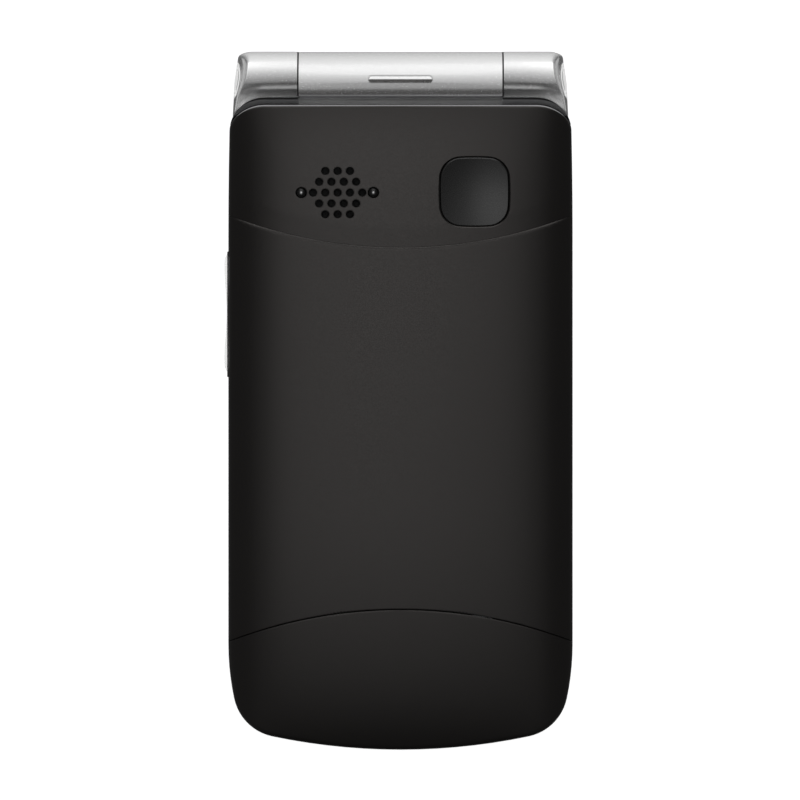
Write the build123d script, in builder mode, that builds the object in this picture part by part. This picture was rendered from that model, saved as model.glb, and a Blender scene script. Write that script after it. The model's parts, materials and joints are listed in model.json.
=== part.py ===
from build123d import *
import math
import os

os.makedirs("parts", exist_ok=True)

# ---------------------------------------------------------------- dimensions
# X: across the phone, Y: along it (hinge end at +Y), Z: up from the table.
# The closed phone lies on the outer face of its lid, back side up.
HW = 26.15            # half width of the body
Y_BOT = -53.1         # free end
Y_COVER = 44.6        # hinge-side edge of the black back
Y_RIM = 45.0          # silver rim round the back
Y_LIP = 46.0          # silver lip beside the knuckles
R_END, R_CORNER, R_FLANK = 95.0, 7.5, 40.0
Y_FLANK = -37.0

Z_LID = 8.0           # inner face of the lid
Z_BASE = 8.2          # keypad face of the base
Z_SPLIT = 9.8         # silver band / rear housing
Z_PART = 14.1         # rear housing / back panels
Z_TOP = 19.0          # crown of the back
Z_LIP = 14.0              # highest line of the lip beside the knuckles
WALL = 1.3
SKIN = 1.1            # thickness of the back panels
SEAM = 0.07           # half width of the panel seams

AX_Y, AX_Z = 48.75, 9.6   # hinge axis
R_BARREL = 4.4
R_CLEAR = 4.6             # what the other half keeps clear of
X_KNUCKLE = 15.70
X_BARREL = 15.48
KN_END = 25.15            # knuckle end face, on the axis
KN_DIR = (1.0, 0.14, 0.19)
KN_Y, KN_Z, R_KN = 49.75, 10.1, 3.4   # round nose of the knuckle section

R_SEAM = 71.4             # both curved seams
Y_SEAM_UP = 23.11         # upper seam on the centre line
Y_SEAM_LO = -31.68        # lower seam on the centre line

GRILLE = (-9.52, 31.37)
GRILLE_ROWS = (3, 4, 5, 4, 3)
GRILLE_DX, GRILLE_DY, GRILLE_D = 1.87, 1.64, 1.22
STUD_D = 1.63
STUD_X = (-15.02, -4.10)

SOS = (11.22, 31.48)
SOS_W = 10.4
SOS_GAP = 0.13
SOS_TRAVEL = 0.4
SOS_DISH = 32.0           # radius of the dished top
SOS_SHIFT = 1.2           # the dish leans with the crown of the back
SOS_Z = 18.12             # lowest point of the dish

ROCK_Y0, ROCK_Y1 = 4.3, 22.4
ROCK_YM = 0.5 * (ROCK_Y0 + ROCK_Y1)
ROCK_Z0, ROCK_Z1 = 10.5, 13.5

BATTERY = (34.0, 50.0, 4.4)
BATTERY_Y = -5.2
Z_FLOOR = 12.6            # battery bay floor
Z_BATT = 12.7

SCREWS = [(-22.5, -5.3), (22.5, -5.3), (-22.6, 27.5), (22.6, 27.5), (-19.0, -47.0), (19.0, -47.0)]

# keys: name -> (x, y, w, h, corner radius)
KEYS = {}
for row, names in enumerate((("1", "2", "3"), ("4", "5", "6"), ("7", "8", "9"), ("star", "0", "hash"))):
    for col, n in enumerate(names):
        KEYS["key_" + n] = (15.0 - 15.0 * col, -12.6 - 9.3 * row, 13.6, 7.7, 2.2)
KEYS["key_call"] = (16.6, 3.2, 10.4, 10.2, 2.6)
KEYS["key_end"] = (-16.6, 3.2, 10.4, 10.2, 2.6)
KEYS["key_soft_left"] = (16.6, 17.2, 10.4, 10.2, 2.6)
KEYS["key_soft_right"] = (-16.6, 17.2, 10.4, 10.2, 2.6)
NAV = (0.0, 10.2, 18.0, 25.0, 6.0)
OK_KEY = (0.0, 10.2, 9.4, 9.4, 3.6)
KEY_GAP = 0.2
Z_RECESS = 8.75           # sunk keypad field
Z_KEY = 8.36              # key tops
Z_FLANGE = 9.85           # key flanges, just inside the keypad plate
KEY_TRAVEL = 0.35

Z_FOIL = 11.1
Z_PCB = 11.2

LID_IN = 0.12             # the lid is this much smaller all round
Z_BAND = 1.5              # outer panel / lid frame
Z_BEZEL = 7.0
WIN_OUT = (0.0, 8.0, 30.0, 24.0)
WIN_MAIN = (0.0, -3.0, 46.6, 63.0)
LID_SCREWS = [(-21.9, 38.6), (21.9, 38.6), (-19.5, -44.6), (19.5, -44.6)]


# ---------------------------------------------------------------- outlines
def outline(inset=0.0, kind="cover"):
    """Closed sketch face of the phone's plan, inset all round."""
    i = inset
    cb = Vector(0, Y_BOT + R_END)
    cs = Vector(HW - R_FLANK, Y_FLANK)
    d = (cs - cb).length
    r1, r2 = R_END - R_CORNER, R_FLANK - R_CORNER
    a = (r1 * r1 - r2 * r2 + d * d) / (2 * d)
    h = math.sqrt(r1 * r1 - a * a)
    u = (cs - cb) / d
    n = Vector(-u.Y, u.X)
    c = [p for p in (cb + u * a + n * h, cb + u * a - n * h) if p.X > 10 and p.Y < -30][0]

    def on(centre, r, ang):
        return Vector(centre.X + r * math.cos(ang), centre.Y + r * math.sin(ang))

    def ang(centre, p):
        return math.atan2(p.Y - centre.Y, p.X - centre.X)

    a1 = ang(cb, c)
    a2 = ang(cs, c)
    segs = []
    p0 = on(cb, R_END - i, -math.pi / 2)
    t1 = on(cb, R_END - i, a1)
    segs.append((p0, on(cb, R_END - i, (a1 - math.pi / 2) / 2), t1))
    t2 = on(c, R_CORNER - i, a2)
    segs.append((t1, on(c, R_CORNER - i, (a1 + a2) / 2), t2))
    t3 = Vector(HW - i, Y_FLANK)
    segs.append((t2, on(cs, R_FLANK - i, a2 / 2), t3))
    rl, y_l = 750.0, 25.0
    t4 = Vector(HW - i, y_l)
    segs.append((t3, None, t4))
    cl = Vector(HW - rl, y_l)
    if kind == "lid":
        # the lid keeps its full width up to the knuckles
        ye = 45.95 - i
        rs = 400.0
        cl = Vector(HW - rs, y_l)
        ae = math.asin((ye - y_l) / (rs - i))
        t5 = on(cl, rs - i, ae)
        segs.append((t4, on(cl, rs - i, ae / 2), t5))
        end = Vector(0, ye)
        segs.append((t5, None, end))
    elif kind == "end":
        rs = 400.0
        cl = Vector(HW - rs, y_l)
        ye = 54.0
        ae = math.asin((ye - y_l) / (rs - i))
        t5 = on(cl, rs - i, ae)
        segs.append((t4, on(cl, rs - i, ae / 2), t5))
        segs.append((t5, None, Vector(0, ye)))
    else:
        w = 5.4
        if kind == "cover":
            yt, hh, rb = Y_COVER, 3.7, 2.8
        elif kind == "rim":
            yt, hh, rb = Y_RIM, 4.1, 3.3
        else:
            yt, hh, rb = Y_LIP, 5.0, 4.6
        ra = (w * w + hh * hh - 2 * w * rb) / (2 * (hh - rb))
        ys = yt - hh
        xm = HW - rl + math.sqrt(rl * rl - (ys - y_l) ** 2)
        c2 = Vector(xm - rb, ys)
        c1 = Vector(xm - w, yt - ra)
        t5 = Vector(c2.X + rb - i, ys)
        am = math.asin((ys - y_l) / rl)
        segs.append((t4, on(cl, rl - i, am / 2), t5))
        at = ang(c1, c2)
        t6 = on(c2, rb - i, at)
        segs.append((t5, on(c2, rb - i, at / 2), t6))
        t7 = Vector(c1.X, yt - i)
        segs.append((t6, on(c1, ra - i, (at + math.pi / 2) / 2), t7))
        segs.append((t7, None, Vector(0, yt - i)))
    return segs


def plan(z, inset=0.0, kind="cover"):
    """The plan as a sketch at height z."""
    segs = outline(inset, kind)
    with BuildSketch(Plane.XY.offset(z)) as sk:
        with BuildLine():
            for a, m, b in segs:
                if m is None:
                    Line((a.X, a.Y), (b.X, b.Y))
                    Line((-b.X, b.Y), (-a.X, a.Y))
                else:
                    ThreePointArc((a.X, a.Y), (m.X, m.Y), (b.X, b.Y))
                    ThreePointArc((-b.X, b.Y), (-m.X, m.Y), (-a.X, a.Y))
        make_face()
    return sk.sketch


def prism(z0, z1, inset=0.0, kind="cover"):
    with BuildPart() as p:
        extrude(plan(z0, inset, kind), amount=z1 - z0)
    return p.part


# ---------------------------------------------------------------- crowned back
def crown(x, y, drop=0.0):
    u = abs(x) / HW
    z = Z_TOP - drop - (1.15 * u ** 2 + 2.7 * u ** 10)
    if y < -13.1:
        v = (-13.1 - y) / 40.0
        z -= 3.0 * v ** 3 + 1.2 * v ** 10
    if y > 28.0:
        w = (y - 28.0) / 16.5
        z -= 1.2 * w ** 3
    return z


def crown_solid(drop):
    """A thick block under the crowned surface lowered by drop."""
    xs = [-27.4 + 54.8 * k / 40 for k in range(41)]
    ys = [-55.0 + 104.0 * k / 60 for k in range(61)]
    pts = [[(x, y, crown(x, y, drop)) for x in xs] for y in ys]
    face = Face.make_surface_from_array_of_points(pts, tol=0.004, min_deg=3, max_deg=6)
    with BuildPart() as blk:
        extrude(face, amount=14.0, dir=(0, 0, -1))
    return blk.part



def axis_cyl(x0, x1, r):
    """Cylinder about the hinge axis from x0 to x1."""
    with BuildPart() as c:
        with BuildSketch(Plane(origin=(x0, AX_Y, AX_Z), x_dir=(0, 1, 0), z_dir=(1, 0, 0))):
            Circle(r)
        extrude(amount=x1 - x0)
    return c.part


def block(x0, x1, y0, y1, z0, z1):
    with BuildPart() as b:
        with BuildSketch(Plane.XY.offset(z0)):
            with Locations(((x0 + x1) / 2, (y0 + y1) / 2)):
                Rectangle(x1 - x0, y1 - y0)
        extrude(amount=z1 - z0)
    return b.part


def pad(x, y, w, h, r, z0, z1):
    """Rounded rectangular block."""
    with BuildPart() as b:
        with BuildSketch(Plane.XY.offset(z0)):
            with Locations((x, y)):
                RectangleRounded(w, h, r)
        extrude(amount=z1 - z0)
    return b.part


def disc(x, y, d, z0, z1):
    with BuildPart() as b:
        with BuildSketch(Plane.XY.offset(z0)):
            with Locations((x, y)):
                Circle(d / 2)
        extrude(amount=z1 - z0)
    return b.part


def squircle(z, grow=0.0):
    """Outline of the emergency button: bowed sides and round corners."""
    a, b = 4.86 + grow, SOS_W / 2 + grow
    cx, cy = SOS
    with BuildSketch(Plane.XY.offset(z)) as sk:
        with BuildLine():
            ThreePointArc((cx - a, cy - a), (cx, cy - b), (cx + a, cy - a))
            ThreePointArc((cx + a, cy - a), (cx + b, cy), (cx + a, cy + a))
            ThreePointArc((cx + a, cy + a), (cx, cy + b), (cx - a, cy + a))
            ThreePointArc((cx - a, cy + a), (cx - b, cy), (cx - a, cy - a))
        make_face()
        fillet(sk.vertices(), radius=3.1 + grow)
    return sk.sketch


def finish(builder, name):
    builder.part.label = name
    export_step(builder.part, "parts/" + name + ".step")


def top_edges(builder, z, tol=0.01):
    return builder.edges().filter_by_position(Axis.Z, z - tol, z + tol)


# ================================================================ BASE: back
crown_0 = crown_solid(0.0)
crown_1 = crown_solid(SKIN)

with BuildPart() as back_outer:
    add(prism(Z_PART + 0.04, 22.0, inset=0.06))
    add(crown_0, mode=Mode.INTERSECT)
    fillet(back_outer.edges().filter_by(lambda e: e.center().Z > Z_PART + 0.25), radius=0.9)

with BuildPart() as back_inner:
    add(prism(Z_PART - 1.0, 22.0, inset=WALL))
    add(crown_1, mode=Mode.INTERSECT)

with BuildPart() as back_shell:
    add(back_outer.part)
    add(back_inner.part, mode=Mode.SUBTRACT)


def seam_disc(upper, r):
    yc = Y_SEAM_UP + R_SEAM if upper else Y_SEAM_LO - R_SEAM
    return disc(0, yc, 2 * r, 10.0, 22.0)


with BuildPart() as rear_top_panel:
    add(back_shell.part)
    add(seam_disc(True, R_SEAM - SEAM), mode=Mode.INTERSECT)
    # speaker holes
    with BuildSketch(Plane.XY.offset(14.5)):
        for r, n in enumerate(GRILLE_ROWS):
            y = GRILLE[1] + (r - 2) * GRILLE_DY
            for c in range(n):
                with Locations((GRILLE[0] + (c - (n - 1) / 2) * GRILLE_DX, y)):
                    Circle(GRILLE_D / 2)
        with Locations(*[(x, GRILLE[1]) for x in STUD_X]):
            Circle(STUD_D / 2)
    extrude(amount=6.0, mode=Mode.SUBTRACT)
    # opening of the emergency button
    extrude(squircle(14.5, SOS_GAP), amount=6.0, mode=Mode.SUBTRACT)
finish(rear_top_panel, "rear_top_panel")

with BuildPart() as antenna_cap:
    add(back_shell.part)
    add(seam_disc(False, R_SEAM - SEAM), mode=Mode.INTERSECT)
finish(antenna_cap, "antenna_cap")

with BuildPart() as battery_cover:
    add(back_shell.part)
    add(seam_disc(True, R_SEAM + SEAM), mode=Mode.SUBTRACT)
    add(seam_disc(False, R_SEAM + SEAM), mode=Mode.SUBTRACT)
finish(battery_cover, "battery_cover")

with BuildPart() as grille_studs:
    for sx in STUD_X:
        top = crown(sx, GRILLE[1]) + 0.26
        add(disc(sx, GRILLE[1], STUD_D - 0.02, 17.35, top))
        fillet(top_edges(grille_studs, top), radius=0.34)
finish(grille_studs, "grille_studs")

# ---------------------------------------------------------------- emergency button
with BuildPart() as sos_button:
    extrude(squircle(15.9), amount=3.4)
    with Locations((SOS[0] + SOS_SHIFT, SOS[1], SOS_Z + SOS_DISH)):
        Sphere(SOS_DISH, mode=Mode.SUBTRACT)
    fillet(sos_button.edges().filter_by(lambda e: e.center().Z > 17.8), radius=0.28)
    extrude(squircle(15.9, 0.75), amount=1.0)
    with BuildSketch(Plane.XY.offset(15.5)):
        with Locations(SOS):
            Circle(1.6)
    extrude(amount=0.4)
finish(sos_button, "sos_button")

# ---------------------------------------------------------------- rear housing
bx, by, bz = BATTERY
with BuildPart() as rear_housing:
    add(prism(Z_SPLIT, Z_PART))
    add(prism(Z_SPLIT - 1, Z_PART + 1, inset=WALL), mode=Mode.SUBTRACT)
    add(prism(12.1, Z_FLOOR, inset=WALL - 0.2))
    # ribs round the battery
    add(pad(0, BATTERY_Y, bx + 2.4, by + 2.4, 1.6, Z_FLOOR - 0.2, 15.6))
    add(pad(0, BATTERY_Y, bx + 0.6, by + 0.6, 1.0, Z_FLOOR, 17.0), mode=Mode.SUBTRACT)
    # windows for what stands on the main board
    add(block(-16.4, 16.4, -20.9, -7.1, 11.0, 13.0), mode=Mode.SUBTRACT)
    add(block(-4.7, 4.7, 19.0, 23.2, 11.0, 16.0), mode=Mode.SUBTRACT)
    add(block(SOS[0] - 3.2, SOS[0] + 3.2, SOS[1] - 3.2, SOS[1] + 3.2, 11.0, 13.0), mode=Mode.SUBTRACT)
    add(block(-1.9, 4.5, 24.9, 38.3, 11.0, 13.0), mode=Mode.SUBTRACT)
    add(block(-10.2, 14.2, -39.2, -32.2, 11.0, 13.0), mode=Mode.SUBTRACT)
    add(block(-4.2, 4.2, -56.0, -46.6, 10.9, 13.9), mode=Mode.SUBTRACT)
    add(block(-24.9, -22.6, 4.9, 21.3, 11.0, 13.0), mode=Mode.SUBTRACT)
    # side window of the volume rocker
    add(block(-28.0, -24.0, ROCK_Y0 - 0.8, ROCK_Y1 + 0.2, ROCK_Z0 - 0.35, ROCK_Z1 + 0.35), mode=Mode.SUBTRACT)
    # flex slot, hinge clearance and screw holes
    add(block(1.2, 7.8, 42.0, 46.0, 10.7, 11.4), mode=Mode.SUBTRACT)
    add(axis_cyl(-30, 30, R_CLEAR), mode=Mode.SUBTRACT)
    with BuildSketch(Plane.XY.offset(11.0)):
        with Locations(*SCREWS):
            Circle(0.85)
    extrude(amount=3.0, mode=Mode.SUBTRACT)
finish(rear_housing, "rear_housing")

# ---------------------------------------------------------------- base frame
with BuildPart() as lip:
    add(prism(Z_BASE, Z_LIP, kind="lip"))
    # its top falls towards the back, down to the foot of the trim
    with BuildPart(mode=Mode.PRIVATE) as slope:
        extrude(plan(Z_LIP - 0.9, inset=0.12, kind="rim"), amount=1.6, taper=-45)
    add(slope.part, mode=Mode.SUBTRACT)

with BuildPart() as rim:
    add(prism(Z_BASE, Z_LIP - 0.9, kind="rim"))
    add(block(-30, 30, 41.6, 50, 8.0, 21.0), mode=Mode.INTERSECT)

with BuildPart() as top_trim:
    # a low bead at the foot of the black back
    add(prism(Z_LIP - 0.9, Z_PART, inset=0.16, kind="rim"))
    add(block(-30, 30, 42.6, 50, 8.0, 21.0), mode=Mode.INTERSECT)
    add(prism(Z_SPLIT, 24.0), mode=Mode.SUBTRACT)
finish(top_trim, "top_trim")
with BuildPart() as barrel:
    add(axis_cyl(-X_BARREL, X_BARREL, R_BARREL))

with BuildPart() as base_frame:
    add(lip.part)
    add(block(-30, 30, 41.9, 50, 8.0, 20.0), mode=Mode.INTERSECT)
    add(block(-X_BARREL, X_BARREL, 40, 50, Z_SPLIT, 20.0), mode=Mode.SUBTRACT)
    add(rim.part)
    add(prism(Z_SPLIT, 24.0), mode=Mode.SUBTRACT)
    add(prism(Z_BASE, Z_SPLIT))
    for sx in (-1, 1):
        add(axis_cyl(min(sx * X_BARREL, sx * 30), max(sx * X_BARREL, sx * 30), R_CLEAR), mode=Mode.SUBTRACT)
    add(barrel.part)
    # bore for the hinge cartridge and bush
    add(axis_cyl(-X_BARREL, X_BARREL, 3.1), mode=Mode.SUBTRACT)
    add(block(1.2, 7.8, 43.0, 47.5, 10.7, 11.4), mode=Mode.SUBTRACT)
    # sunk keypad field and key openings
    add(pad(0, -9.4, 46.6, 75.2, 8.0, 8.0, Z_RECESS), mode=Mode.SUBTRACT)
    with BuildSketch(Plane.XY.offset(8.0)):
        for kx, ky, kw, kh, kr in KEYS.values():
            with Locations((kx, ky)):
                RectangleRounded(kw + 2 * KEY_GAP, kh + 2 * KEY_GAP, kr + KEY_GAP)
        with Locations(NAV[:2]):
            RectangleRounded(NAV[2] + 2 * KEY_GAP, NAV[3] + 2 * KEY_GAP, NAV[4] + KEY_GAP)
        with Locations((12.0, -49.7)):
            Circle(0.5)
    extrude(amount=2.0, mode=Mode.SUBTRACT)
    # screw bosses
    with BuildSketch(Plane.XY.offset(Z_SPLIT - 0.1)):
        with Locations(*SCREWS):
            Circle(2.0)
    extrude(amount=Z_PCB - Z_SPLIT + 0.1)
    with BuildSketch(Plane.XY.offset(Z_PCB)):
        with Locations(*SCREWS):
            Circle(1.45)
    extrude(amount=12.1 - Z_PCB)
    with BuildSketch(Plane.XY.offset(9.3)):
        with Locations(*SCREWS):
            Circle(0.75)
    extrude(amount=3.5, mode=Mode.SUBTRACT)
    # pocket of the raised bar
    with BuildSketch(Plane.XY.offset(13.5)):
        with Locations((0, AX_Y + 0.1)):
            SlotOverall(9.8, 1.14)
    extrude(amount=1.0, mode=Mode.SUBTRACT)
finish(base_frame, "base_frame")

with BuildPart() as spine_bar:
    with BuildSketch(Plane.XY.offset(13.5)):
        with Locations((0, AX_Y + 0.1)):
            SlotOverall(9.78, 1.12)
    extrude(amount=1.0)
    fillet(top_edges(spine_bar, 14.5), radius=0.5)
finish(spine_bar, "spine_bar")

# ---------------------------------------------------------------- volume rocker
with BuildPart() as rocker_bezel:
    add(block(-26.34, -24.85, ROCK_Y0 - 0.8, ROCK_Y1 + 0.2, ROCK_Z0 - 0.35, ROCK_Z1 + 0.35))
    fillet(rocker_bezel.faces().sort_by(Axis.X)[0].edges(), radius=0.15)
    add(block(-28, -24, ROCK_Y0 - 0.15, ROCK_Y1 - 0.0, ROCK_Z0 - 0.12, ROCK_Z1 + 0.12), mode=Mode.SUBTRACT)
finish(rocker_bezel, "rocker_bezel")

with BuildPart() as volume_rocker:
    with BuildSketch(Plane.XY.offset(ROCK_Z0)):
        with BuildLine():
            x0, xm, xi = -26.78, -26.42, -25.05
            ya, yb = ROCK_Y0 + 0.02, ROCK_Y1 - 0.17
            Spline((xm + 0.10, yb), (x0 + 0.12, yb - 0.55), (x0, yb - 1.6), (x0 + 0.03, yb - 3.4), (xm, ROCK_YM),
                   (x0 + 0.03, ya + 3.4), (x0, ya + 1.6), (x0 + 0.12, ya + 0.55), (xm + 0.10, ya))
            Line((xm + 0.10, ya), (xi, ya))
            Line((xi, ya), (xi, yb))
            Line((xi, yb), (xm + 0.10, yb))
        make_face()
    extrude(amount=ROCK_Z1 - ROCK_Z0)
    for yy in (ROCK_YM + 5.2, ROCK_YM - 5.2):
        add(block(-25.1, -24.55, yy - 1.0, yy + 1.0, 11.2, 12.8))
finish(volume_rocker, "volume_rocker")

with BuildPart() as switches_and_contacts:
    for yy in (ROCK_YM + 5.2, ROCK_YM - 5.2):
        add(block(-23.9, -22.6, yy - 2.1, yy + 2.1, 10.7, 13.1))
        add(block(-24.2, -23.8, yy - 0.8, yy + 0.8, 11.4, 12.6))
    add(block(SOS[0] - 3.0, SOS[0] + 3.0, SOS[1] - 3.0, SOS[1] + 3.0, 12.0, 14.4))
    add(disc(SOS[0], SOS[1], 3.2, 14.3, 15.0))
    # battery contacts
    add(block(-4.5, 4.5, 20.4, 23.0, 12.0, 15.6))
    for cx in (-2.8, 0, 2.8):
        add(block(cx - 0.6, cx + 0.6, 19.85, 20.5, 13.4, 15.0))
finish(switches_and_contacts, "switches_and_contacts")

# ---------------------------------------------------------------- keys
DOMES = []
for name, (kx, ky, kw, kh, kr) in KEYS.items():
    with BuildPart() as key:
        add(pad(kx, ky, kw, kh, kr, Z_KEY, Z_FLANGE + 0.1))
        fillet(top_edges(key, Z_KEY), radius=0.5)
        add(pad(kx, ky, kw + 0.8, kh + 0.8, kr + 0.4, Z_FLANGE, Z_FLANGE + 0.45))
        add(disc(kx, ky, 2.4, Z_FLANGE + 0.4, 10.6))
    DOMES.append((kx, ky))
    finish(key, name)

nx, ny, nw, nh, nr = NAV
with BuildPart() as key_nav:
    add(pad(nx, ny, nw, nh, nr, Z_KEY, 10.2))
    fillet(top_edges(key_nav, Z_KEY), radius=0.5)
    add(pad(nx, ny, OK_KEY[2] + 0.4, OK_KEY[3] + 0.4, OK_KEY[4] + 0.2, 8.0, 9.5), mode=Mode.SUBTRACT)
    add(pad(nx, ny, OK_KEY[2] + 1.5, OK_KEY[3] + 1.5, OK_KEY[4] + 0.7, 9.45, 11.0), mode=Mode.SUBTRACT)
    with BuildPart(mode=Mode.PRIVATE) as skirt:
        add(pad(nx, ny, nw + 0.8, nh + 0.8, nr + 0.4, 10.2, 10.4))
        add(pad(nx, ny, OK_KEY[2] + 1.5, OK_KEY[3] + 1.5, OK_KEY[4] + 0.7, 10.0, 11.0), mode=Mode.SUBTRACT)
    add(skirt.part)
    for yy in (ny - 9.0, ny + 9.0):
        add(disc(nx, yy, 2.4, 10.3, 10.6))
finish(key_nav, "key_nav")
DOMES += [(nx, ny - 9.0), (nx, ny + 9.0)]

with BuildPart() as key_ok:
    add(pad(*OK_KEY[:4], OK_KEY[4], Z_KEY, Z_FLANGE + 0.1))
    fillet(top_edges(key_ok, Z_KEY), radius=0.5)
    add(pad(OK_KEY[0], OK_KEY[1], OK_KEY[2] + 0.8, OK_KEY[3] + 0.8, OK_KEY[4] + 0.4, Z_FLANGE, Z_FLANGE + 0.45))
    add(disc(OK_KEY[0], OK_KEY[1], 2.4, Z_FLANGE + 0.4, 10.6))
finish(key_ok, "key_ok")
DOMES.append(OK_KEY[:2])

# ---------------------------------------------------------------- keypad sandwich
with BuildPart() as keypad_mat:
    add(pad(0, -9.2, 40.4, 70.0, 3.0, 10.8, Z_FOIL))
    with BuildSketch(Plane.XY.offset(10.0)):
        with Locations(*DOMES):
            Circle(2.6)
    extrude(amount=2.0, mode=Mode.SUBTRACT)
finish(keypad_mat, "keypad_mat")

with BuildPart() as dome_foil:
    add(pad(0, -9.2, 40.4, 70.0, 3.0, Z_FOIL, Z_PCB))
    with BuildSketch(Plane.XY.offset(11.0)):
        with Locations(*DOMES):
            Circle(2.1)
    extrude(amount=0.15)
finish(dome_foil, "dome_foil")

with BuildPart() as main_pcb:
    extrude(plan(Z_PCB, inset=1.7), amount=0.8)
    with BuildSketch(Plane.XY.offset(11.0)):
        with Locations(*SCREWS):
            Circle(1.6)
    extrude(amount=2.0, mode=Mode.SUBTRACT)
    add(block(-30, -22.6, 4.6, 21.6, 11.0, 13.0), mode=Mode.SUBTRACT)
    add(block(-4.0, 4.0, -56, -46.9, 11.0, 13.0), mode=Mode.SUBTRACT)
finish(main_pcb, "main_pcb")

with BuildPart() as shields_and_sim_sockets:
    for x0, x1, y0, y1 in ((-1.7, 4.3, 25.1, 38.1), (-10.0, 14.0, -39.0, -32.4)):
        with BuildPart(mode=Mode.PRIVATE) as can:
            add(block(x0, x1, y0, y1, 12.0, 14.0))
            fillet(can.edges().filter_by(Axis.Z), radius=0.5)
            fillet(top_edges(can, 14.0), radius=0.25)
        add(can.part)
    for sx in (-8.1, 8.1):
        with BuildSketch(Plane.XY.offset(12.0)):
            with Locations((sx, -14.0)):
                Rectangle(15.6, 13.4)
        extrude(amount=0.6)
        with BuildSketch(Plane.XY.offset(12.3)):
            with Locations((sx, -14.4)):
                Rectangle(12.6, 9.0)
        extrude(amount=0.5, mode=Mode.SUBTRACT)
finish(shields_and_sim_sockets, "shields_and_sim_sockets")


with BuildPart() as battery:
    add(block(-bx / 2, bx / 2, BATTERY_Y - by / 2, BATTERY_Y + by / 2, Z_FLOOR, Z_FLOOR + bz))
    fillet(battery.edges().filter_by(Axis.Z), radius=1.2)
    fillet(top_edges(battery, Z_FLOOR + bz), radius=0.6)
finish(battery, "battery")

with BuildPart() as loudspeaker:
    with BuildSketch(Plane.XZ.offset(-GRILLE[1])):
        with BuildLine():
            g = GRILLE[0]
            Polyline((g, 12.6), (g + 5.0, 12.6), (g + 5.0, 13.2), (g + 7.2, 14.4), (g + 7.2, 17.0), (g + 6.1, 17.0),
                     (g + 6.1, 16.3), (g + 5.3, 16.3), (g + 3.0, 15.3), (g + 2.2, 15.6), (g, 16.0), (g, 12.6))
        make_face()
    revolve(axis=Axis((GRILLE[0], GRILLE[1], 0), (0, 0, 1)))
finish(loudspeaker, "loudspeaker")

with BuildPart() as speaker_mesh:
    add(disc(GRILLE[0], GRILLE[1], 13.6, 17.0, 17.12))
finish(speaker_mesh, "speaker_mesh")

with BuildPart() as usb_socket:
    add(block(-3.7, 3.7, -52.4, -46.9, 11.1, 13.7))
    fillet(usb_socket.edges().filter_by(Axis.Y), radius=0.5)
    add(block(-3.35, 3.35, -53.0, -47.9, 11.45, 13.35), mode=Mode.SUBTRACT)
    add(block(-2.2, 2.2, -51.9, -47.6, 12.5, 12.95))
finish(usb_socket, "usb_socket")

with BuildPart() as microphone:
    add(disc(12.0, -48.9, 3.0, 10.2, Z_PCB))
finish(microphone, "microphone")

with BuildPart() as vibration_motor:
    with BuildSketch(Plane(origin=(-17.0, -43.0, 14.2), z_dir=(1, 0, 0))):
        Circle(1.6)
    extrude(amount=8.0)
    with BuildSketch(Plane(origin=(-9.0, -43.0, 14.2), x_dir=(0, 1, 0), z_dir=(1, 0, 0))):
        Circle(1.45)
        with Locations((0, -1.5)):
            Rectangle(4.0, 2.2, mode=Mode.SUBTRACT)
    extrude(amount=2.4)
    with BuildSketch(Plane(origin=(-9.2, -43.0, 14.2), z_dir=(1, 0, 0))):
        Circle(0.4)
    extrude(amount=2.8)
finish(vibration_motor, "vibration_motor")

with BuildPart() as antenna:
    add(block(-3.0, 16.6, -46.3, -40.6, Z_FLOOR, 14.7))
    fillet(top_edges(antenna, 14.7), radius=0.3)
finish(antenna, "antenna")

with BuildPart() as base_screws:
    with BuildSketch(Plane.XY.offset(9.5)):
        with Locations(*SCREWS):
            Circle(0.7)
    extrude(amount=3.2)
    with BuildSketch(Plane.XY.offset(Z_FLOOR)):
        with Locations(*SCREWS):
            Circle(1.35)
    extrude(amount=0.8)
    with BuildSketch(Plane.XY.offset(13.0)):
        with Locations(*SCREWS):
            Rectangle(1.5, 0.35)
            Rectangle(0.35, 1.5)
    extrude(amount=0.5, mode=Mode.SUBTRACT)
finish(base_screws, "base_screws")

# ================================================================ HINGE
with BuildPart() as hinge_can:
    add(axis_cyl(-15.4, -0.6, 3.07))
    add(axis_cyl(-16.0, -1.4, 2.5), mode=Mode.SUBTRACT)
finish(hinge_can, "hinge_can")

with BuildPart() as hinge_shaft:
    add(axis_cyl(-15.3, -13.2, 2.42))
    add(axis_cyl(-13.3, -2.0, 0.9))
    with BuildPart(mode=Mode.PRIVATE) as key_end:
        add(axis_cyl(-19.6, -15.45, 2.6))
        add(block(-20, -15, AX_Y - 3, AX_Y + 3, AX_Z - 1.9, AX_Z + 1.9), mode=Mode.INTERSECT)
    add(key_end.part)
    add(axis_cyl(-15.5, -15.2, 1.9))
finish(hinge_shaft, "hinge_shaft")

with BuildPart() as hinge_spring:
    with BuildLine():
        hx = Helix(pitch=1.4, height=9.8, radius=1.72, center=(-12.4, AX_Y, AX_Z), direction=(1, 0, 0))
    with BuildSketch(Plane(origin=hx @ 0, z_dir=hx % 0)):
        Circle(0.25)
    sweep(is_frenet=True)
finish(hinge_spring, "hinge_spring")

with BuildPart() as hinge_bush:
    add(axis_cyl(8.2, 15.4, 3.04))
    add(axis_cyl(15.3, 19.6, 2.54))
    add(axis_cyl(8.0, 20.0, 2.1), mode=Mode.SUBTRACT)
finish(hinge_bush, "hinge_bush")

with BuildPart() as flex_cable:
    add(axis_cyl(2.0, 22.0, 1.85))
    add(axis_cyl(1.0, 23.0, 1.65), mode=Mode.SUBTRACT)
    add(block(1.5, 7.5, 38.0, 47.75, 10.98, 11.18))
finish(flex_cable, "flex_cable")

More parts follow.
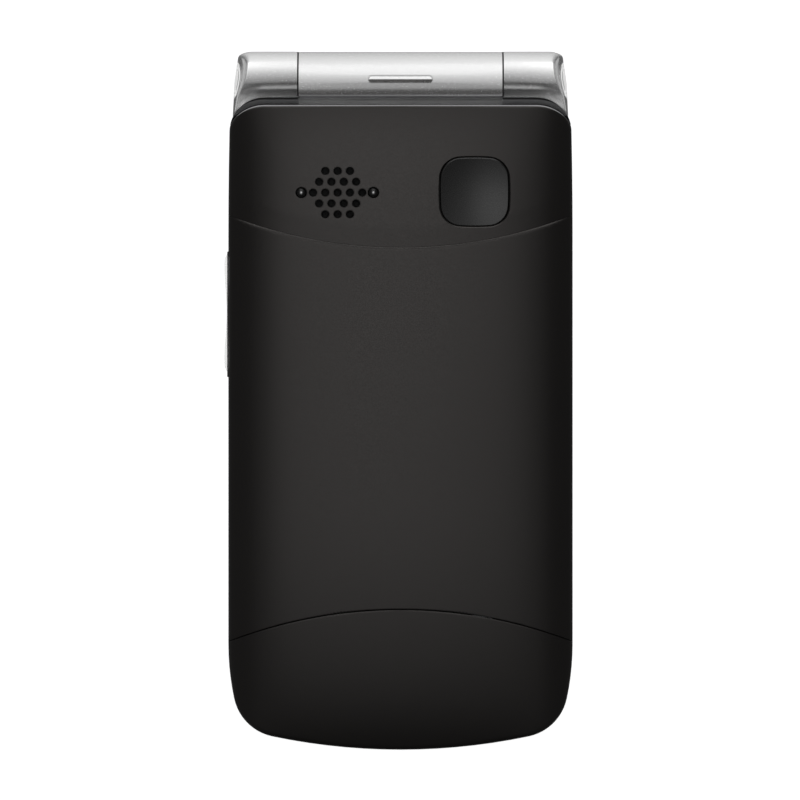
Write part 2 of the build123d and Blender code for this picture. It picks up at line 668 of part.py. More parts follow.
# ================================================================ LID
# Section of a knuckle: a round nose that sits off the hinge axis, a hollow
# towards the lip, and a flat run down into the lid.
ay, az = 45.6, Z_BAND
dy, dz = KN_Y - ay, KN_Z - az
dd = math.hypot(dy, dz)
dirn = math.atan2(dz, dy) - math.asin(R_KN / dd)
tl = math.sqrt(dd * dd - R_KN ** 2)
ty, tz = ay + tl * math.cos(dirn), az + tl * math.sin(dirn)
a_tan = math.atan2(tz - KN_Z, ty - KN_Y)
a_top = math.radians(90 + 28)
a_mid = 0.5 * (a_tan + a_top)


def nose(ang):
    return (KN_Y + R_KN * math.cos(ang), KN_Z + R_KN * math.sin(ang))


with BuildPart() as knuckle_r:
    with BuildSketch(Plane(origin=(X_KNUCKLE, 0, 0), x_dir=(0, 1, 0), z_dir=(1, 0, 0))):
        with BuildLine():
            Line((ay, az), (ty, tz))
            ThreePointArc((ty, tz), nose(a_mid), nose(a_top))
            Spline(nose(a_top), (47.4, 12.62), (46.8, 12.2), (46.2, 11.88), (44.8, 11.4), (42.6, 10.9),
                   tangents=[(-math.cos(math.radians(28)), -math.sin(math.radians(28))), (-1, -0.18)])
            Polyline((42.6, 10.9), (42.6, az), (ay, az))
        make_face()
    extrude(amount=13.0)
    # the outline of the base, with room round it
    add(prism(Z_LID + 0.02, 20.0, inset=-0.25, kind="lip"), mode=Mode.SUBTRACT)
    add(axis_cyl(X_KNUCKLE, 30, 2.2))
    split(bisect_by=Plane(origin=(KN_END, AX_Y, AX_Z), z_dir=KN_DIR), keep=Keep.BOTTOM)
    add(prism(Z_BAND, 20.0, inset=LID_IN - 0.02, kind="end"), mode=Mode.INTERSECT)

# black washers that show in the slits between knuckles and barrel
with BuildPart() as hinge_washers:
    with BuildPart(mode=Mode.PRIVATE) as washer:
        with BuildSketch(Plane(origin=(X_BARREL + 0.015, 0, 0), x_dir=(0, 1, 0), z_dir=(1, 0, 0))):
            with Locations((KN_Y, KN_Z)):
                Circle(R_KN - 0.06)
            with BuildLine():
                Polyline((ty - 0.25, tz + 0.1), (46.4, 3.6), (46.4, 11.3), (47.4, 12.1), (KN_Y, KN_Z), (ty - 0.25, tz + 0.1))
            make_face()
            with Locations((AX_Y, AX_Z)):
                Circle(2.66, mode=Mode.SUBTRACT)
        extrude(amount=X_KNUCKLE - X_BARREL - 0.015)
    add(washer.part)
    add(washer.part.mirror(Plane.YZ))
finish(hinge_washers, "hinge_washers")

with BuildPart() as lid_frame:
    add(prism(Z_BAND, Z_LID, inset=LID_IN, kind="lid"))
    add(prism(3.2, 9.0, inset=LID_IN + 1.5, kind="lid"), mode=Mode.SUBTRACT)
    add(prism(Z_BEZEL, 9.0, inset=LID_IN + 0.9, kind="lid"), mode=Mode.SUBTRACT)
    add(prism(1.0, 2.6, inset=LID_IN + 1.5, kind="lid"), mode=Mode.SUBTRACT)
    # end wall, closed towards the knuckles and round the barrel
    add(axis_cyl(-X_KNUCKLE, X_KNUCKLE, R_CLEAR), mode=Mode.SUBTRACT)
    for sx in (-1, 1):
        add(block(min(sx * X_KNUCKLE, sx * 30), max(sx * X_KNUCKLE, sx * 30), 42.6, 50.0, 0.0, 12.0), mode=Mode.SUBTRACT)
    # bosses
    with BuildSketch(Plane.XY.offset(3.1)):
        with Locations(*LID_SCREWS):
            Circle(2.0)
    extrude(amount=Z_BEZEL - 3.1)
    with BuildSketch(Plane.XY.offset(3.7)):
        with Locations(*LID_SCREWS):
            Circle(0.75)
    extrude(amount=4.0, mode=Mode.SUBTRACT)
    # window for the outer display
    add(pad(WIN_OUT[0], WIN_OUT[1], 26.4, 19.4, 1.0, 1.0, 2.62), mode=Mode.SUBTRACT)
finish(lid_frame, "lid_frame")

with BuildPart() as hinge_knuckles:
    add(knuckle_r.part)
    add(knuckle_r.part.mirror(Plane.YZ))
    add(prism(Z_BEZEL, Z_LID + 0.02, inset=LID_IN + 0.9, kind="lid"), mode=Mode.SUBTRACT)
    # hinge bores
    with BuildPart(mode=Mode.PRIVATE) as dbore:
        add(axis_cyl(-19.7, -15.0, 2.62))
        add(block(-20, -15, AX_Y - 3, AX_Y + 3, AX_Z - 1.92, AX_Z + 1.92), mode=Mode.INTERSECT)
    add(dbore.part, mode=Mode.SUBTRACT)
    add(axis_cyl(15.0, 19.7, 2.56), mode=Mode.SUBTRACT)
    add(axis_cyl(15.0, 22.6, 2.1), mode=Mode.SUBTRACT)
    # cap seats
    for sx in (-1, 1):
        with BuildSketch(Plane(origin=(sx * (KN_END - 0.6), AX_Y - 0.6 * 0.14, AX_Z - 0.6 * 0.19), z_dir=(sx * KN_DIR[0], KN_DIR[1], KN_DIR[2]))):
            Circle(2.82)
        extrude(amount=3.0, mode=Mode.SUBTRACT)
finish(hinge_knuckles, "hinge_knuckles")

with BuildPart() as hinge_end_caps:
    for sx in (-1, 1):
        with BuildPart(mode=Mode.PRIVATE) as one:
            with BuildSketch(Plane(origin=(sx * (KN_END - 0.58), AX_Y - 0.58 * 0.14, AX_Z - 0.58 * 0.19), z_dir=(sx * KN_DIR[0], KN_DIR[1], KN_DIR[2]))):
                Circle(2.78)
            extrude(amount=0.66)
            fillet(one.faces().sort_by(Axis((0, 0, 0), (sx * KN_DIR[0], KN_DIR[1], KN_DIR[2])))[-1].edges(), radius=0.2)
        add(one.part)
finish(hinge_end_caps, "hinge_end_caps")

with BuildPart() as lid_outer_panel:
    add(prism(0.0, Z_BAND, inset=LID_IN + 0.3, kind="lid"))
    fillet(lid_outer_panel.faces().sort_by(Axis.Z)[0].edges(), radius=1.0)
    add(pad(*WIN_OUT, 3.0, -1.0, 0.9), mode=Mode.SUBTRACT)
    add(pad(WIN_OUT[0], WIN_OUT[1], 26.0, 19.0, 1.0, -1.0, 3.0), mode=Mode.SUBTRACT)
finish(lid_outer_panel, "lid_outer_panel")

with BuildPart() as outer_window:
    add(pad(WIN_OUT[0], WIN_OUT[1], WIN_OUT[2] - 0.2, WIN_OUT[3] - 0.2, 2.9, 0.1, 0.9))
    fillet(outer_window.faces().sort_by(Axis.Z)[0].edges(), radius=0.15)
finish(outer_window, "outer_window")


with BuildPart() as inner_bezel:
    add(prism(Z_BEZEL, Z_LID, inset=LID_IN + 0.93, kind="lid"))
    add(axis_cyl(-30, 30, R_CLEAR + 0.1), mode=Mode.SUBTRACT)
    add(pad(*WIN_MAIN, 2.5, 6.0, 9.0), mode=Mode.SUBTRACT)
    with BuildSketch(Plane.XY.offset(6.0)):
        with Locations((0, -42.3)):
            SlotOverall(12.0, 1.5)
        with Locations(*LID_SCREWS):
            Circle(0.8)
    extrude(amount=3.0, mode=Mode.SUBTRACT)
    with BuildSketch(Plane.XY.offset(7.3)):
        with Locations(*LID_SCREWS):
            Circle(1.45)
    extrude(amount=1.0, mode=Mode.SUBTRACT)
finish(inner_bezel, "inner_bezel")

with BuildPart() as main_lens:
    add(pad(WIN_MAIN[0], WIN_MAIN[1], WIN_MAIN[2] - 0.2, WIN_MAIN[3] - 0.2, 2.4, 6.92, 7.76))
    fillet(main_lens.faces().sort_by(Axis.Z)[-1].edges(), radius=0.15)
finish(main_lens, "main_lens")

with BuildPart() as displays:
    add(pad(WIN_MAIN[0], WIN_MAIN[1], 45.4, 61.6, 0.6, 3.9, 6.9))
    add(pad(WIN_OUT[0], WIN_OUT[1], 25.6, 18.6, 0.6, 0.92, 2.58))
finish(displays, "displays")

with BuildPart() as lid_pcb:
    add(pad(0, -2.0, 39.0, 76.0, 2.0, 3.2, 3.85))
finish(lid_pcb, "lid_pcb")

with BuildPart() as earpiece:
    add(pad(0, -42.3, 12.6, 7.0, 3.0, 3.9, 6.98))
finish(earpiece, "earpiece")

with BuildPart() as lid_screws:
    with BuildSketch(Plane.XY.offset(3.9)):
        with Locations(*LID_SCREWS):
            Circle(0.7)
    extrude(amount=3.5)
    with BuildSketch(Plane.XY.offset(7.3)):
        with Locations(*LID_SCREWS):
            Circle(1.3)
    extrude(amount=0.45)
finish(lid_screws, "lid_screws")

with BuildPart() as lid_bumpers:
    with BuildSketch(Plane.XY.offset(7.75)):
        with Locations(*LID_SCREWS):
            Circle(1.4)
    extrude(amount=0.38)
    fillet(top_edges(lid_bumpers, 8.13), radius=0.1)
finish(lid_bumpers, "lid_bumpers")
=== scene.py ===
import json
import math

import bpy
import bmesh
import numpy as np
from mathutils import Matrix, Vector
from mathutils.geometry import delaunay_2d_cdt

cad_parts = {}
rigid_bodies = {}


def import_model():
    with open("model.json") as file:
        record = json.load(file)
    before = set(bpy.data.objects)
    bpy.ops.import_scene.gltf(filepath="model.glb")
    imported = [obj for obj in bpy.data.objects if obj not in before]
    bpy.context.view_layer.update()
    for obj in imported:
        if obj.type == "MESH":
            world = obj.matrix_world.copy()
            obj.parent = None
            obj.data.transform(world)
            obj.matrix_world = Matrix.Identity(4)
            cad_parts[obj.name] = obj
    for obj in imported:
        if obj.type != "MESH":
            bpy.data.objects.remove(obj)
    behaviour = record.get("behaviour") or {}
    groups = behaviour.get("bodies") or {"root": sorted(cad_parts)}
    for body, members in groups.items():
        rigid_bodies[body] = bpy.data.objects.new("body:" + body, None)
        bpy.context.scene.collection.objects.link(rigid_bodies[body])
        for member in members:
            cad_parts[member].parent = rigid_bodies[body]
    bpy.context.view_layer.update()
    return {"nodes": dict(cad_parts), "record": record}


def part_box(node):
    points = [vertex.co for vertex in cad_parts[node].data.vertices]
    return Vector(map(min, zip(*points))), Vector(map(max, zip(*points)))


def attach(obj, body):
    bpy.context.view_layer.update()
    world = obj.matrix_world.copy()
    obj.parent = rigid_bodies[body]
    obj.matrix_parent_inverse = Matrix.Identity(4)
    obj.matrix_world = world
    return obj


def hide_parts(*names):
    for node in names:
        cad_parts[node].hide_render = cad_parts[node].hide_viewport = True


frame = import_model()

MM = 0.001

# ------------------------------------------------------------------ sizes, mm
HW, Y_BOT = 26.15, -53.1
Y_COVER, Y_RIM, Y_LIP = 44.6, 45.0, 46.0
R_END, R_CORNER, R_FLANK, Y_FLANK = 95.0, 7.5, 40.0, -37.0
Z_TOP, Z_PART, SKIN = 19.0, 14.1, 1.1
R_SEAM, Y_SEAM_UP, Y_SEAM_LO, SEAM = 71.4, 23.11, -31.68, 0.07
GRILLE = (-9.52, 31.37)
GRILLE_ROWS = (3, 4, 5, 4, 3)
GRILLE_DX, GRILLE_DY, GRILLE_D = 1.87, 1.64, 1.22
STUD_D, STUD_X = 1.63, (-15.02, -4.10)
SOS, SOS_W, SOS_GAP = (11.22, 31.48), 10.4, 0.13


# ------------------------------------------------------------------ node helpers
def material(name):
    m = bpy.data.materials.new(name)
    m.use_nodes = True
    nt = m.node_tree
    nt.nodes.clear()
    out = nt.nodes.new("ShaderNodeOutputMaterial")
    b = nt.nodes.new("ShaderNodeBsdfPrincipled")
    nt.links.new(b.outputs[0], out.inputs[0])
    return m, nt, b


def coords(nt):
    return nt.nodes.new("ShaderNodeTexCoord").outputs["Object"]


def noise(nt, vec, scale, detail=3.0, rough=0.5):
    n = nt.nodes.new("ShaderNodeTexNoise")
    n.inputs["Scale"].default_value = scale
    n.inputs["Detail"].default_value = detail
    n.inputs["Roughness"].default_value = rough
    nt.links.new(vec, n.inputs["Vector"])
    return n.outputs["Fac"]


def remap(nt, val, lo, hi, a=0.3, b=0.7):
    r = nt.nodes.new("ShaderNodeMapRange")
    r.inputs["From Min"].default_value = a
    r.inputs["From Max"].default_value = b
    r.inputs["To Min"].default_value = lo
    r.inputs["To Max"].default_value = hi
    nt.links.new(val, r.inputs["Value"])
    return r.outputs["Result"]


def ramp(nt, val, stops):
    r = nt.nodes.new("ShaderNodeValToRGB")
    el = r.color_ramp.elements
    while len(el) > 1:
        el.remove(el[-1])
    el[0].position, el[0].color = stops[0][0], (*stops[0][1], 1)
    for p, c in stops[1:]:
        e = el.new(p)
        e.color = (*c, 1)
    nt.links.new(val, r.inputs["Fac"])
    return r.outputs["Color"]


def bump(nt, val, bsdf, dist, strength=1.0):
    b = nt.nodes.new("ShaderNodeBump")
    b.inputs["Distance"].default_value = dist
    b.inputs["Strength"].default_value = strength
    nt.links.new(val, b.inputs["Height"])
    nt.links.new(b.outputs["Normal"], bsdf.inputs["Normal"])
    return b


def plastic(name, col, rough, tex=5200.0, depth=0.0000015, spread=0.05, coat=0.0, coat_rough=0.1, spec=0.5):
    """Moulded plastic: fine grain in bump and roughness, slight tone drift."""
    m, nt, b = material(name)
    c = coords(nt)
    fine = noise(nt, c, tex, 2.0)
    wide = noise(nt, c, 90.0, 2.0)
    lo = tuple(v * 0.92 for v in col)
    hi = tuple(min(1.0, v * 1.08) for v in col)
    nt.links.new(ramp(nt, wide, [(0.3, lo), (0.7, hi)]), b.inputs["Base Color"])
    nt.links.new(remap(nt, fine, rough - spread, rough + spread), b.inputs["Roughness"])
    b.inputs["Specular IOR Level"].default_value = spec
    if coat:
        b.inputs["Coat Weight"].default_value = coat
        b.inputs["Coat Roughness"].default_value = coat_rough
    bump(nt, fine, b, depth)
    return m


def metal(name, col, rough, tex=9000.0, depth=0.0000008, spread=0.04, stretch=None):
    """Metallic paint or metal: tiny flakes or a brushed grain."""
    m, nt, b = material(name)
    c = coords(nt)
    if stretch:
        mp = nt.nodes.new("ShaderNodeMapping")
        mp.inputs["Scale"].default_value = stretch
        nt.links.new(c, mp.inputs["Vector"])
        c = mp.outputs["Vector"]
    fine = noise(nt, c, tex, 2.0)
    lo = tuple(v * 0.95 for v in col)
    nt.links.new(ramp(nt, fine, [(0.3, lo), (0.7, col)]), b.inputs["Base Color"])
    nt.links.new(remap(nt, fine, rough - spread, rough + spread), b.inputs["Roughness"])
    b.inputs["Metallic"].default_value = 1.0
    bump(nt, fine, b, depth)
    return m


MAT = {
    "back": plastic("back_black", (0.0056, 0.0052, 0.0050), 0.34, spec=0.95),
    "button": plastic("button_black", (0.0050, 0.0047, 0.0045), 0.29, spec=0.95, spread=0.03),
    "silver": metal("silver_paint", (0.80, 0.80, 0.80), 0.24),
    "gloss_black": plastic("gloss_black", (0.008, 0.008, 0.009), 0.12, tex=800.0, depth=0.0000003, spread=0.02),
    "frame_black": plastic("frame_black", (0.012, 0.012, 0.012), 0.5),
    "trim": metal("trim_silver", (0.42, 0.42, 0.43), 0.24),
    "chrome": metal("chrome_trim", (0.86, 0.86, 0.86), 0.10, tex=3000.0, depth=0.0000002, spread=0.03),
    "steel": metal("steel", (0.62, 0.62, 0.64), 0.3, tex=2500.0, stretch=(1.0, 8.0, 1.0)),
    "rubber": plastic("rubber_black", (0.02, 0.02, 0.02), 0.75, tex=3000.0, depth=0.000004),
    "key_black": plastic("key_black", (0.035, 0.036, 0.039), 0.42, tex=3800.0, depth=0.000002),
    "key_green": plastic("key_green", (0.018, 0.20, 0.045), 0.4, tex=3800.0, depth=0.000002),
    "key_red": plastic("key_red", (0.38, 0.014, 0.012), 0.4, tex=3800.0, depth=0.000002),
    "legend": plastic("legend_white", (0.78, 0.78, 0.76), 0.5, tex=6000.0, depth=0.000001),
    "silicone": plastic("silicone_grey", (0.11, 0.11, 0.115), 0.62, tex=2600.0, depth=0.000003),
    "wrap": plastic("battery_wrap", (0.052, 0.054, 0.058), 0.28, tex=1500.0, depth=0.000002),
    "spring": metal("spring_steel", (0.50, 0.49, 0.47), 0.27, tex=4200.0),
}


def lens_material():
    """Clear hard-coated window with a faint surface haze."""
    m, nt, b = material("lens_clear")
    fine = noise(nt, coords(nt), 350.0, 2.0)
    b.inputs["Base Color"].default_value = (0.93, 0.94, 0.95, 1)
    b.inputs["Transmission Weight"].default_value = 1.0
    b.inputs["IOR"].default_value = 1.49
    nt.links.new(remap(nt, fine, 0.01, 0.035), b.inputs["Roughness"])
    return m


def display_material():
    """Switched-off display: near-black, with the pixel rows just visible in the gloss."""
    m, nt, b = material("display_off")
    c = coords(nt)
    w = nt.nodes.new("ShaderNodeTexWave")
    w.inputs["Scale"].default_value = 1500.0
    nt.links.new(c, w.inputs["Vector"])
    wide = noise(nt, c, 40.0, 2.0)
    nt.links.new(ramp(nt, wide, [(0.3, (0.010, 0.012, 0.017)), (0.7, (0.017, 0.020, 0.027))]), b.inputs["Base Color"])
    nt.links.new(remap(nt, w.outputs["Fac"], 0.16, 0.24, 0.0, 1.0), b.inputs["Roughness"])
    return m


def board_material():
    """Green solder mask over copper runs."""
    m, nt, b = material("board_green")
    c = coords(nt)
    br = nt.nodes.new("ShaderNodeTexBrick")
    br.inputs["Scale"].default_value = 260.0
    br.inputs["Mortar Size"].default_value = 0.012
    br.inputs["Color1"].default_value = (0.010, 0.075, 0.030, 1)
    br.inputs["Color2"].default_value = (0.012, 0.095, 0.038, 1)
    br.inputs["Mortar"].default_value = (0.022, 0.15, 0.06, 1)
    nt.links.new(c, br.inputs["Vector"])
    nt.links.new(br.outputs["Color"], b.inputs["Base Color"])
    nt.links.new(remap(nt, noise(nt, c, 2000.0, 2.0), 0.25, 0.38), b.inputs["Roughness"])
    bump(nt, br.outputs["Fac"], b, 0.00001, 0.4)
    return m


def polyimide_material():
    """Amber film with copper tracks showing through."""
    m, nt, b = material("polyimide")
    c = coords(nt)
    w = nt.nodes.new("ShaderNodeTexWave")
    w.inputs["Scale"].default_value = 190.0
    w.inputs["Distortion"].default_value = 0.6
    nt.links.new(c, w.inputs["Vector"])
    nt.links.new(ramp(nt, w.outputs["Fac"], [(0.35, (0.33, 0.13, 0.018)), (0.65, (0.52, 0.24, 0.04))]), b.inputs["Base Color"])
    nt.links.new(remap(nt, noise(nt, c, 1800.0, 2.0), 0.22, 0.34), b.inputs["Roughness"])
    return m


def mesh_material():
    """Woven acoustic gauze."""
    m, nt, b = material("mesh_black")
    c = coords(nt)
    ch = nt.nodes.new("ShaderNodeTexChecker")
    ch.inputs["Scale"].default_value = 4200.0
    nt.links.new(c, ch.inputs["Vector"])
    nt.links.new(ramp(nt, ch.outputs["Fac"], [(0.4, (0.008, 0.008, 0.008)), (0.6, (0.022, 0.022, 0.022))]), b.inputs["Base Color"])
    nt.links.new(remap(nt, ch.outputs["Fac"], 0.55, 0.75, 0.0, 1.0), b.inputs["Roughness"])
    bump(nt, ch.outputs["Fac"], b, 0.000006)
    return m


def frame_material():
    """Silver paint on the frame, with painted shade on the lip at the hinge end: a darker metallic grey, graded by
    height, stands in for the shade there.
    """
    m, nt, b = material("silver_frame")
    c = coords(nt)
    fine = noise(nt, c, 9000.0, 2.0)
    nt.links.new(ramp(nt, fine, [(0.3, (0.76, 0.76, 0.76)), (0.7, (0.80, 0.80, 0.80))]), b.inputs["Base Color"])
    nt.links.new(remap(nt, fine, 0.20, 0.28), b.inputs["Roughness"])
    b.inputs["Metallic"].default_value = 0.86
    bump(nt, fine, b, 0.0000008)
    # shaded copy of the silver: metallic grey that paints the shade on the lip
    k = nt.nodes.new("ShaderNodeBsdfPrincipled")
    sep = nt.nodes.new("ShaderNodeSeparateXYZ")
    nt.links.new(c, sep.inputs[0])
    # painted shade: darker metallic grey by height over the valley below, the slope to the trim and the flat top of the
    # lip
    level = remap(nt, sep.outputs["Z"], 0.0, 1.0, 0.0115, 0.0145)
    nt.links.new(ramp(nt, level, [(0.0, (0.5,) * 3), (0.2, (0.6,) * 3), (0.333, (0.6,) * 3), (0.417, (0.45,) * 3), (0.50, (0.28,) * 3), (0.525, (0.08,) * 3), (0.56, (0.08,) * 3), (0.6, (0.36,) * 3), (0.783, (0.38,) * 3), (0.817, (0.02,) * 3)]), k.inputs["Base Color"])
    nt.links.new(remap(nt, fine, 0.28, 0.36), k.inputs["Roughness"])
    k.inputs["Metallic"].default_value = 1.0

    def calc(op, a, b2):
        n = nt.nodes.new("ShaderNodeMath")
        n.operation = op
        nt.links.new(a, n.inputs[0])
        nt.links.new(b2, n.inputs[1])
        return n.outputs[0]

    def above(axis, v):
        return remap(nt, sep.outputs[axis], 0.0, 1.0, v * MM, (v + 0.05) * MM)

    top = calc("MULTIPLY", above("Y", 41.7), above("Z", 13.05))
    valley = calc("MULTIPLY", above("Y", 44.86), above("Z", 11.5))
    wall = calc("MULTIPLY", above("Y", 45.6), above("Z", 10.1))
    # painted shade mask: where the darker grey replaces the silver
    painted_shade_mask = calc("MAXIMUM", calc("MAXIMUM", top, valley), wall)
    # the barrel beyond the lip stays silver
    lip = calc("MULTIPLY", painted_shade_mask, remap(nt, sep.outputs["Y"], 1.0, 0.0, 0.04610, 0.04660)).node
    mix = nt.nodes.new("ShaderNodeMixShader")
    nt.links.new(lip.outputs[0], mix.inputs[0])
    nt.links.new(b.outputs[0], mix.inputs[1])
    nt.links.new(k.outputs[0], mix.inputs[2])
    nt.links.new(mix.outputs[0], [n for n in nt.nodes if n.type == "OUTPUT_MATERIAL"][0].inputs[0])
    return m


MAT["frame_silver"] = frame_material()
[n for n in MAT["silver"].node_tree.nodes if n.type == "BSDF_PRINCIPLED"][0].inputs["Metallic"].default_value = 0.86
for _n in MAT["back"].node_tree.nodes:
    if _n.type == "BSDF_PRINCIPLED":
        _n.inputs["Specular Tint"].default_value = (1.0, 0.945, 0.915, 1)
MAT["lens"] = lens_material()
MAT["display"] = display_material()
MAT["board"] = board_material()
MAT["polyimide"] = polyimide_material()
MAT["mesh"] = mesh_material()


# ------------------------------------------------------------------ plan curves
def arc_pts(c, r, a0, a1, step):
    n = max(2, int(abs(a1 - a0) * r / step))
    return [(c[0] + r * math.cos(a0 + (a1 - a0) * k / n), c[1] + r * math.sin(a0 + (a1 - a0) * k / n)) for k in range(n + 1)]


def outline(inset=0.0, kind="cover", step=0.5):
    """Half plan (x >= 0) from the free end to the hinge end, then mirrored to a closed loop."""
    i = inset
    cb = np.array([0.0, Y_BOT + R_END])
    cs = np.array([HW - R_FLANK, Y_FLANK])
    d = np.linalg.norm(cs - cb)
    r1, r2 = R_END - R_CORNER, R_FLANK - R_CORNER
    a = (r1 * r1 - r2 * r2 + d * d) / (2 * d)
    h = math.sqrt(r1 * r1 - a * a)
    u = (cs - cb) / d
    n = np.array([-u[1], u[0]])
    c = [p for p in (cb + u * a + n * h, cb + u * a - n * h) if p[0] > 10 and p[1] < -30][0]
    ang = lambda o, p: math.atan2(p[1] - o[1], p[0] - o[0])
    a1, a2 = ang(cb, c), ang(cs, c)
    pts = arc_pts(cb, R_END - i, -math.pi / 2, a1, step)
    pts += arc_pts(c, R_CORNER - i, a1, a2, step * 0.5)[1:]
    pts += arc_pts(cs, R_FLANK - i, a2, 0.0, step)[1:]
    rl, yl = 750.0, 25.0
    k = int((yl - Y_FLANK) / step)
    pts += [(HW - i, Y_FLANK + (yl - Y_FLANK) * j / k) for j in range(1, k + 1)]
    w = 5.4
    yt, hh, rb = {"cover": (Y_COVER, 3.7, 2.8), "rim": (Y_RIM, 4.1, 3.3), "lip": (Y_LIP, 5.0, 4.6)}[kind]
    ra = (w * w + hh * hh - 2 * w * rb) / (2 * (hh - rb))
    ys = yt - hh
    xm = HW - rl + math.sqrt(rl * rl - (ys - yl) ** 2)
    c2 = (xm - rb, ys)
    c1 = (xm - w, yt - ra)
    am = math.asin((ys - yl) / rl)
    pts += arc_pts((HW - rl, yl), rl - i, 0.0, am, step)[1:]
    at = ang(c1, c2)
    pts += arc_pts(c2, rb - i, 0.0, at, step * 0.4)[1:]
    pts += arc_pts(c1, ra - i, at, math.pi / 2, step * 0.5)[1:]
    k = int(c1[0] / step)
    pts += [(c1[0] * (1 - j / k), yt - i) for j in range(1, k + 1)]
    left = [(-x, y) for x, y in pts[::-1]][1:-1]
    return pts + left


def crown(x, y, drop=0.0):
    u = np.abs(x) / HW
    z = Z_TOP - drop - (1.15 * u ** 2 + 2.7 * u ** 10)
    v = np.clip((-13.1 - y) / 40.0, 0, None)
    z = z - 3.0 * v ** 3 - 1.2 * v ** 10
    w = np.clip((y - 28.0) / 16.5, 0, None)
    return z - 1.2 * w ** 3


def squircle(grow=0.0, centre=SOS, n=14):
    a, b = 4.86 + grow, SOS_W / 2 + grow
    r = 3.1 + grow
    # bowed side through (-a,-a),(0,-b),(a,-a); corners rounded with radius r
    s = b - a
    R = (a * a + s * s) / (2 * s)
    # right side centre
    cxr = b - R
    # corner centre on the diagonal, tangent inside both side circles
    # distance from the corner centre (t,t) to (cxr,0) equals R - r
    A, B, C = 2.0, -2.0 * cxr, cxr * cxr - (R - r) ** 2
    t = (-B + math.sqrt(B * B - 4 * A * C)) / (2 * A)
    a0 = math.atan2(t, t - cxr)
    quarter = []
    for k in range(n + 1):
        q = -a0 + 2 * a0 * k / n
        quarter.append((cxr + R * math.cos(q), R * math.sin(q)))
    for k in range(1, n):
        q = a0 + (math.pi / 2 - 2 * a0) * k / n
        quarter.append((t + r * math.cos(q), t + r * math.sin(q)))
    out = []
    for m in range(4):
        co, si = math.cos(m * math.pi / 2), math.sin(m * math.pi / 2)
        out += [(x * co - y * si + centre[0], x * si + y * co + centre[1]) for x, y in quarter]
    return out


def poly_dist(P, loop):
    """Distance from each point of P to a closed polyline, and which points are inside."""
    L = np.asarray(loop, float)
    A, B = L, np.roll(L, -1, axis=0)
    best = np.full(len(P), 1e9)
    inside = np.zeros(len(P), bool)
    for s in range(0, len(P), 4000):
        p = P[s:s + 4000][:, None, :]
        ab = (B - A)[None]
        t = np.clip(((p - A[None]) * ab).sum(-1) / np.maximum((ab ** 2).sum(-1), 1e-12), 0, 1)
        q = A[None] + ab * t[..., None]
        best[s:s + 4000] = np.sqrt(((p - q) ** 2).sum(-1)).min(1)
        cond = (A[None, :, 1] > p[..., 1]) != (B[None, :, 1] > p[..., 1])
        dy = np.where(np.abs(B[:, 1] - A[:, 1]) < 1e-12, 1e-12, B[:, 1] - A[:, 1])
        xi = (B[:, 0] - A[:, 0])[None] * (p[..., 1] - A[None, :, 1]) / dy[None] + A[None, :, 0]
        inside[s:s + 4000] = (np.sum(cond & (p[..., 0] < xi), axis=1) % 2) == 1
    return best, inside


def roll(d, w, h):
    """Rounded edge: how far the surface has dropped at distance d from the edge."""
    k = np.clip((w - d) / w, 0, 1)
    return h * (1 - np.sqrt(np.clip(1 - k * k, 0, 1)))


def clean_loop(loop, tol=0.02):
    out = []
    for p in loop:
        if not out or math.hypot(p[0] - out[-1][0], p[1] - out[-1][1]) > tol:
            out.append(p)
    while math.hypot(out[0][0] - out[-1][0], out[0][1] - out[-1][1]) < tol:
        out.pop()
    return out


def sheet_mesh(name, loop, holes, inner_pts, z_top, z_bot):
    """Closed solid over a plan region: a fine top and bottom skin joined by walls along every loop."""
    verts, edges = [], []
    loops = []
    for lp in [loop] + holes:
        base = len(verts)
        idx = list(range(base, base + len(lp)))
        verts += [Vector(p) for p in lp]
        edges += [(idx[k], idx[(k + 1) % len(idx)]) for k in range(len(idx))]
        loops.append(idx)
    nb = len(verts)
    verts += [Vector(p) for p in inner_pts]
    vo, eo, fo, ov, oe, of = delaunay_2d_cdt(verts, edges, [], 1, 1e-6)
    P = np.array([(v.x, v.y) for v in vo])
    F = np.array([f for f in fo if len(f) == 3])
    cen = P[F].mean(axis=1)
    keep = np.ones(len(F), bool)
    for hl in holes:
        _, ins = poly_dist(cen, hl)
        keep &= ~ins
    F = F[keep]
    a, b, c = P[F[:, 0]], P[F[:, 1]], P[F[:, 2]]
    area = (b[:, 0] - a[:, 0]) * (c[:, 1] - a[:, 1]) - (b[:, 1] - a[:, 1]) * (c[:, 0] - a[:, 0])
    F = F[np.abs(area) > 1e-9]
    area = area[np.abs(area) > 1e-9]
    F[area < 0] = F[area < 0][:, ::-1]
    used = np.unique(F)
    remap_i = -np.ones(len(P), int)
    remap_i[used] = np.arange(len(used))
    P, F = P[used], remap_i[F]
    zt, zb = z_top(P[:, 0], P[:, 1]), z_bot(P[:, 0], P[:, 1])
    n = len(P)
    V = np.vstack([np.c_[P, zt], np.c_[P, zb]]) * MM
    faces = [tuple(f) for f in F] + [tuple(int(i) + n for i in f[::-1]) for f in F]
    count = {}
    for f in F:
        for k in range(3):
            e = (int(f[k]), int(f[(k + 1) % 3]))
            count[e] = count.get(e, 0) + 1
    for (i, j) in count:
        if (j, i) not in count:
            faces.append((j, i, i + n, j + n))
    me = bpy.data.meshes.new(name)
    me.from_pydata(V.tolist(), [], [tuple(int(i) for i in f) for f in faces])
    me.validate()
    for p in me.polygons:
        p.use_smooth = True
    me.set_sharp_from_angle(angle=math.radians(50))
    ob = bpy.data.objects.new(name, me)
    bpy.context.collection.objects.link(ob)
    return ob


# ------------------------------------------------------------------ back panels
EDGE = 0.06
GAP_UP = 0.02


def seam_c(upper):
    return (0.0, Y_SEAM_UP + R_SEAM if upper else Y_SEAM_LO - R_SEAM)


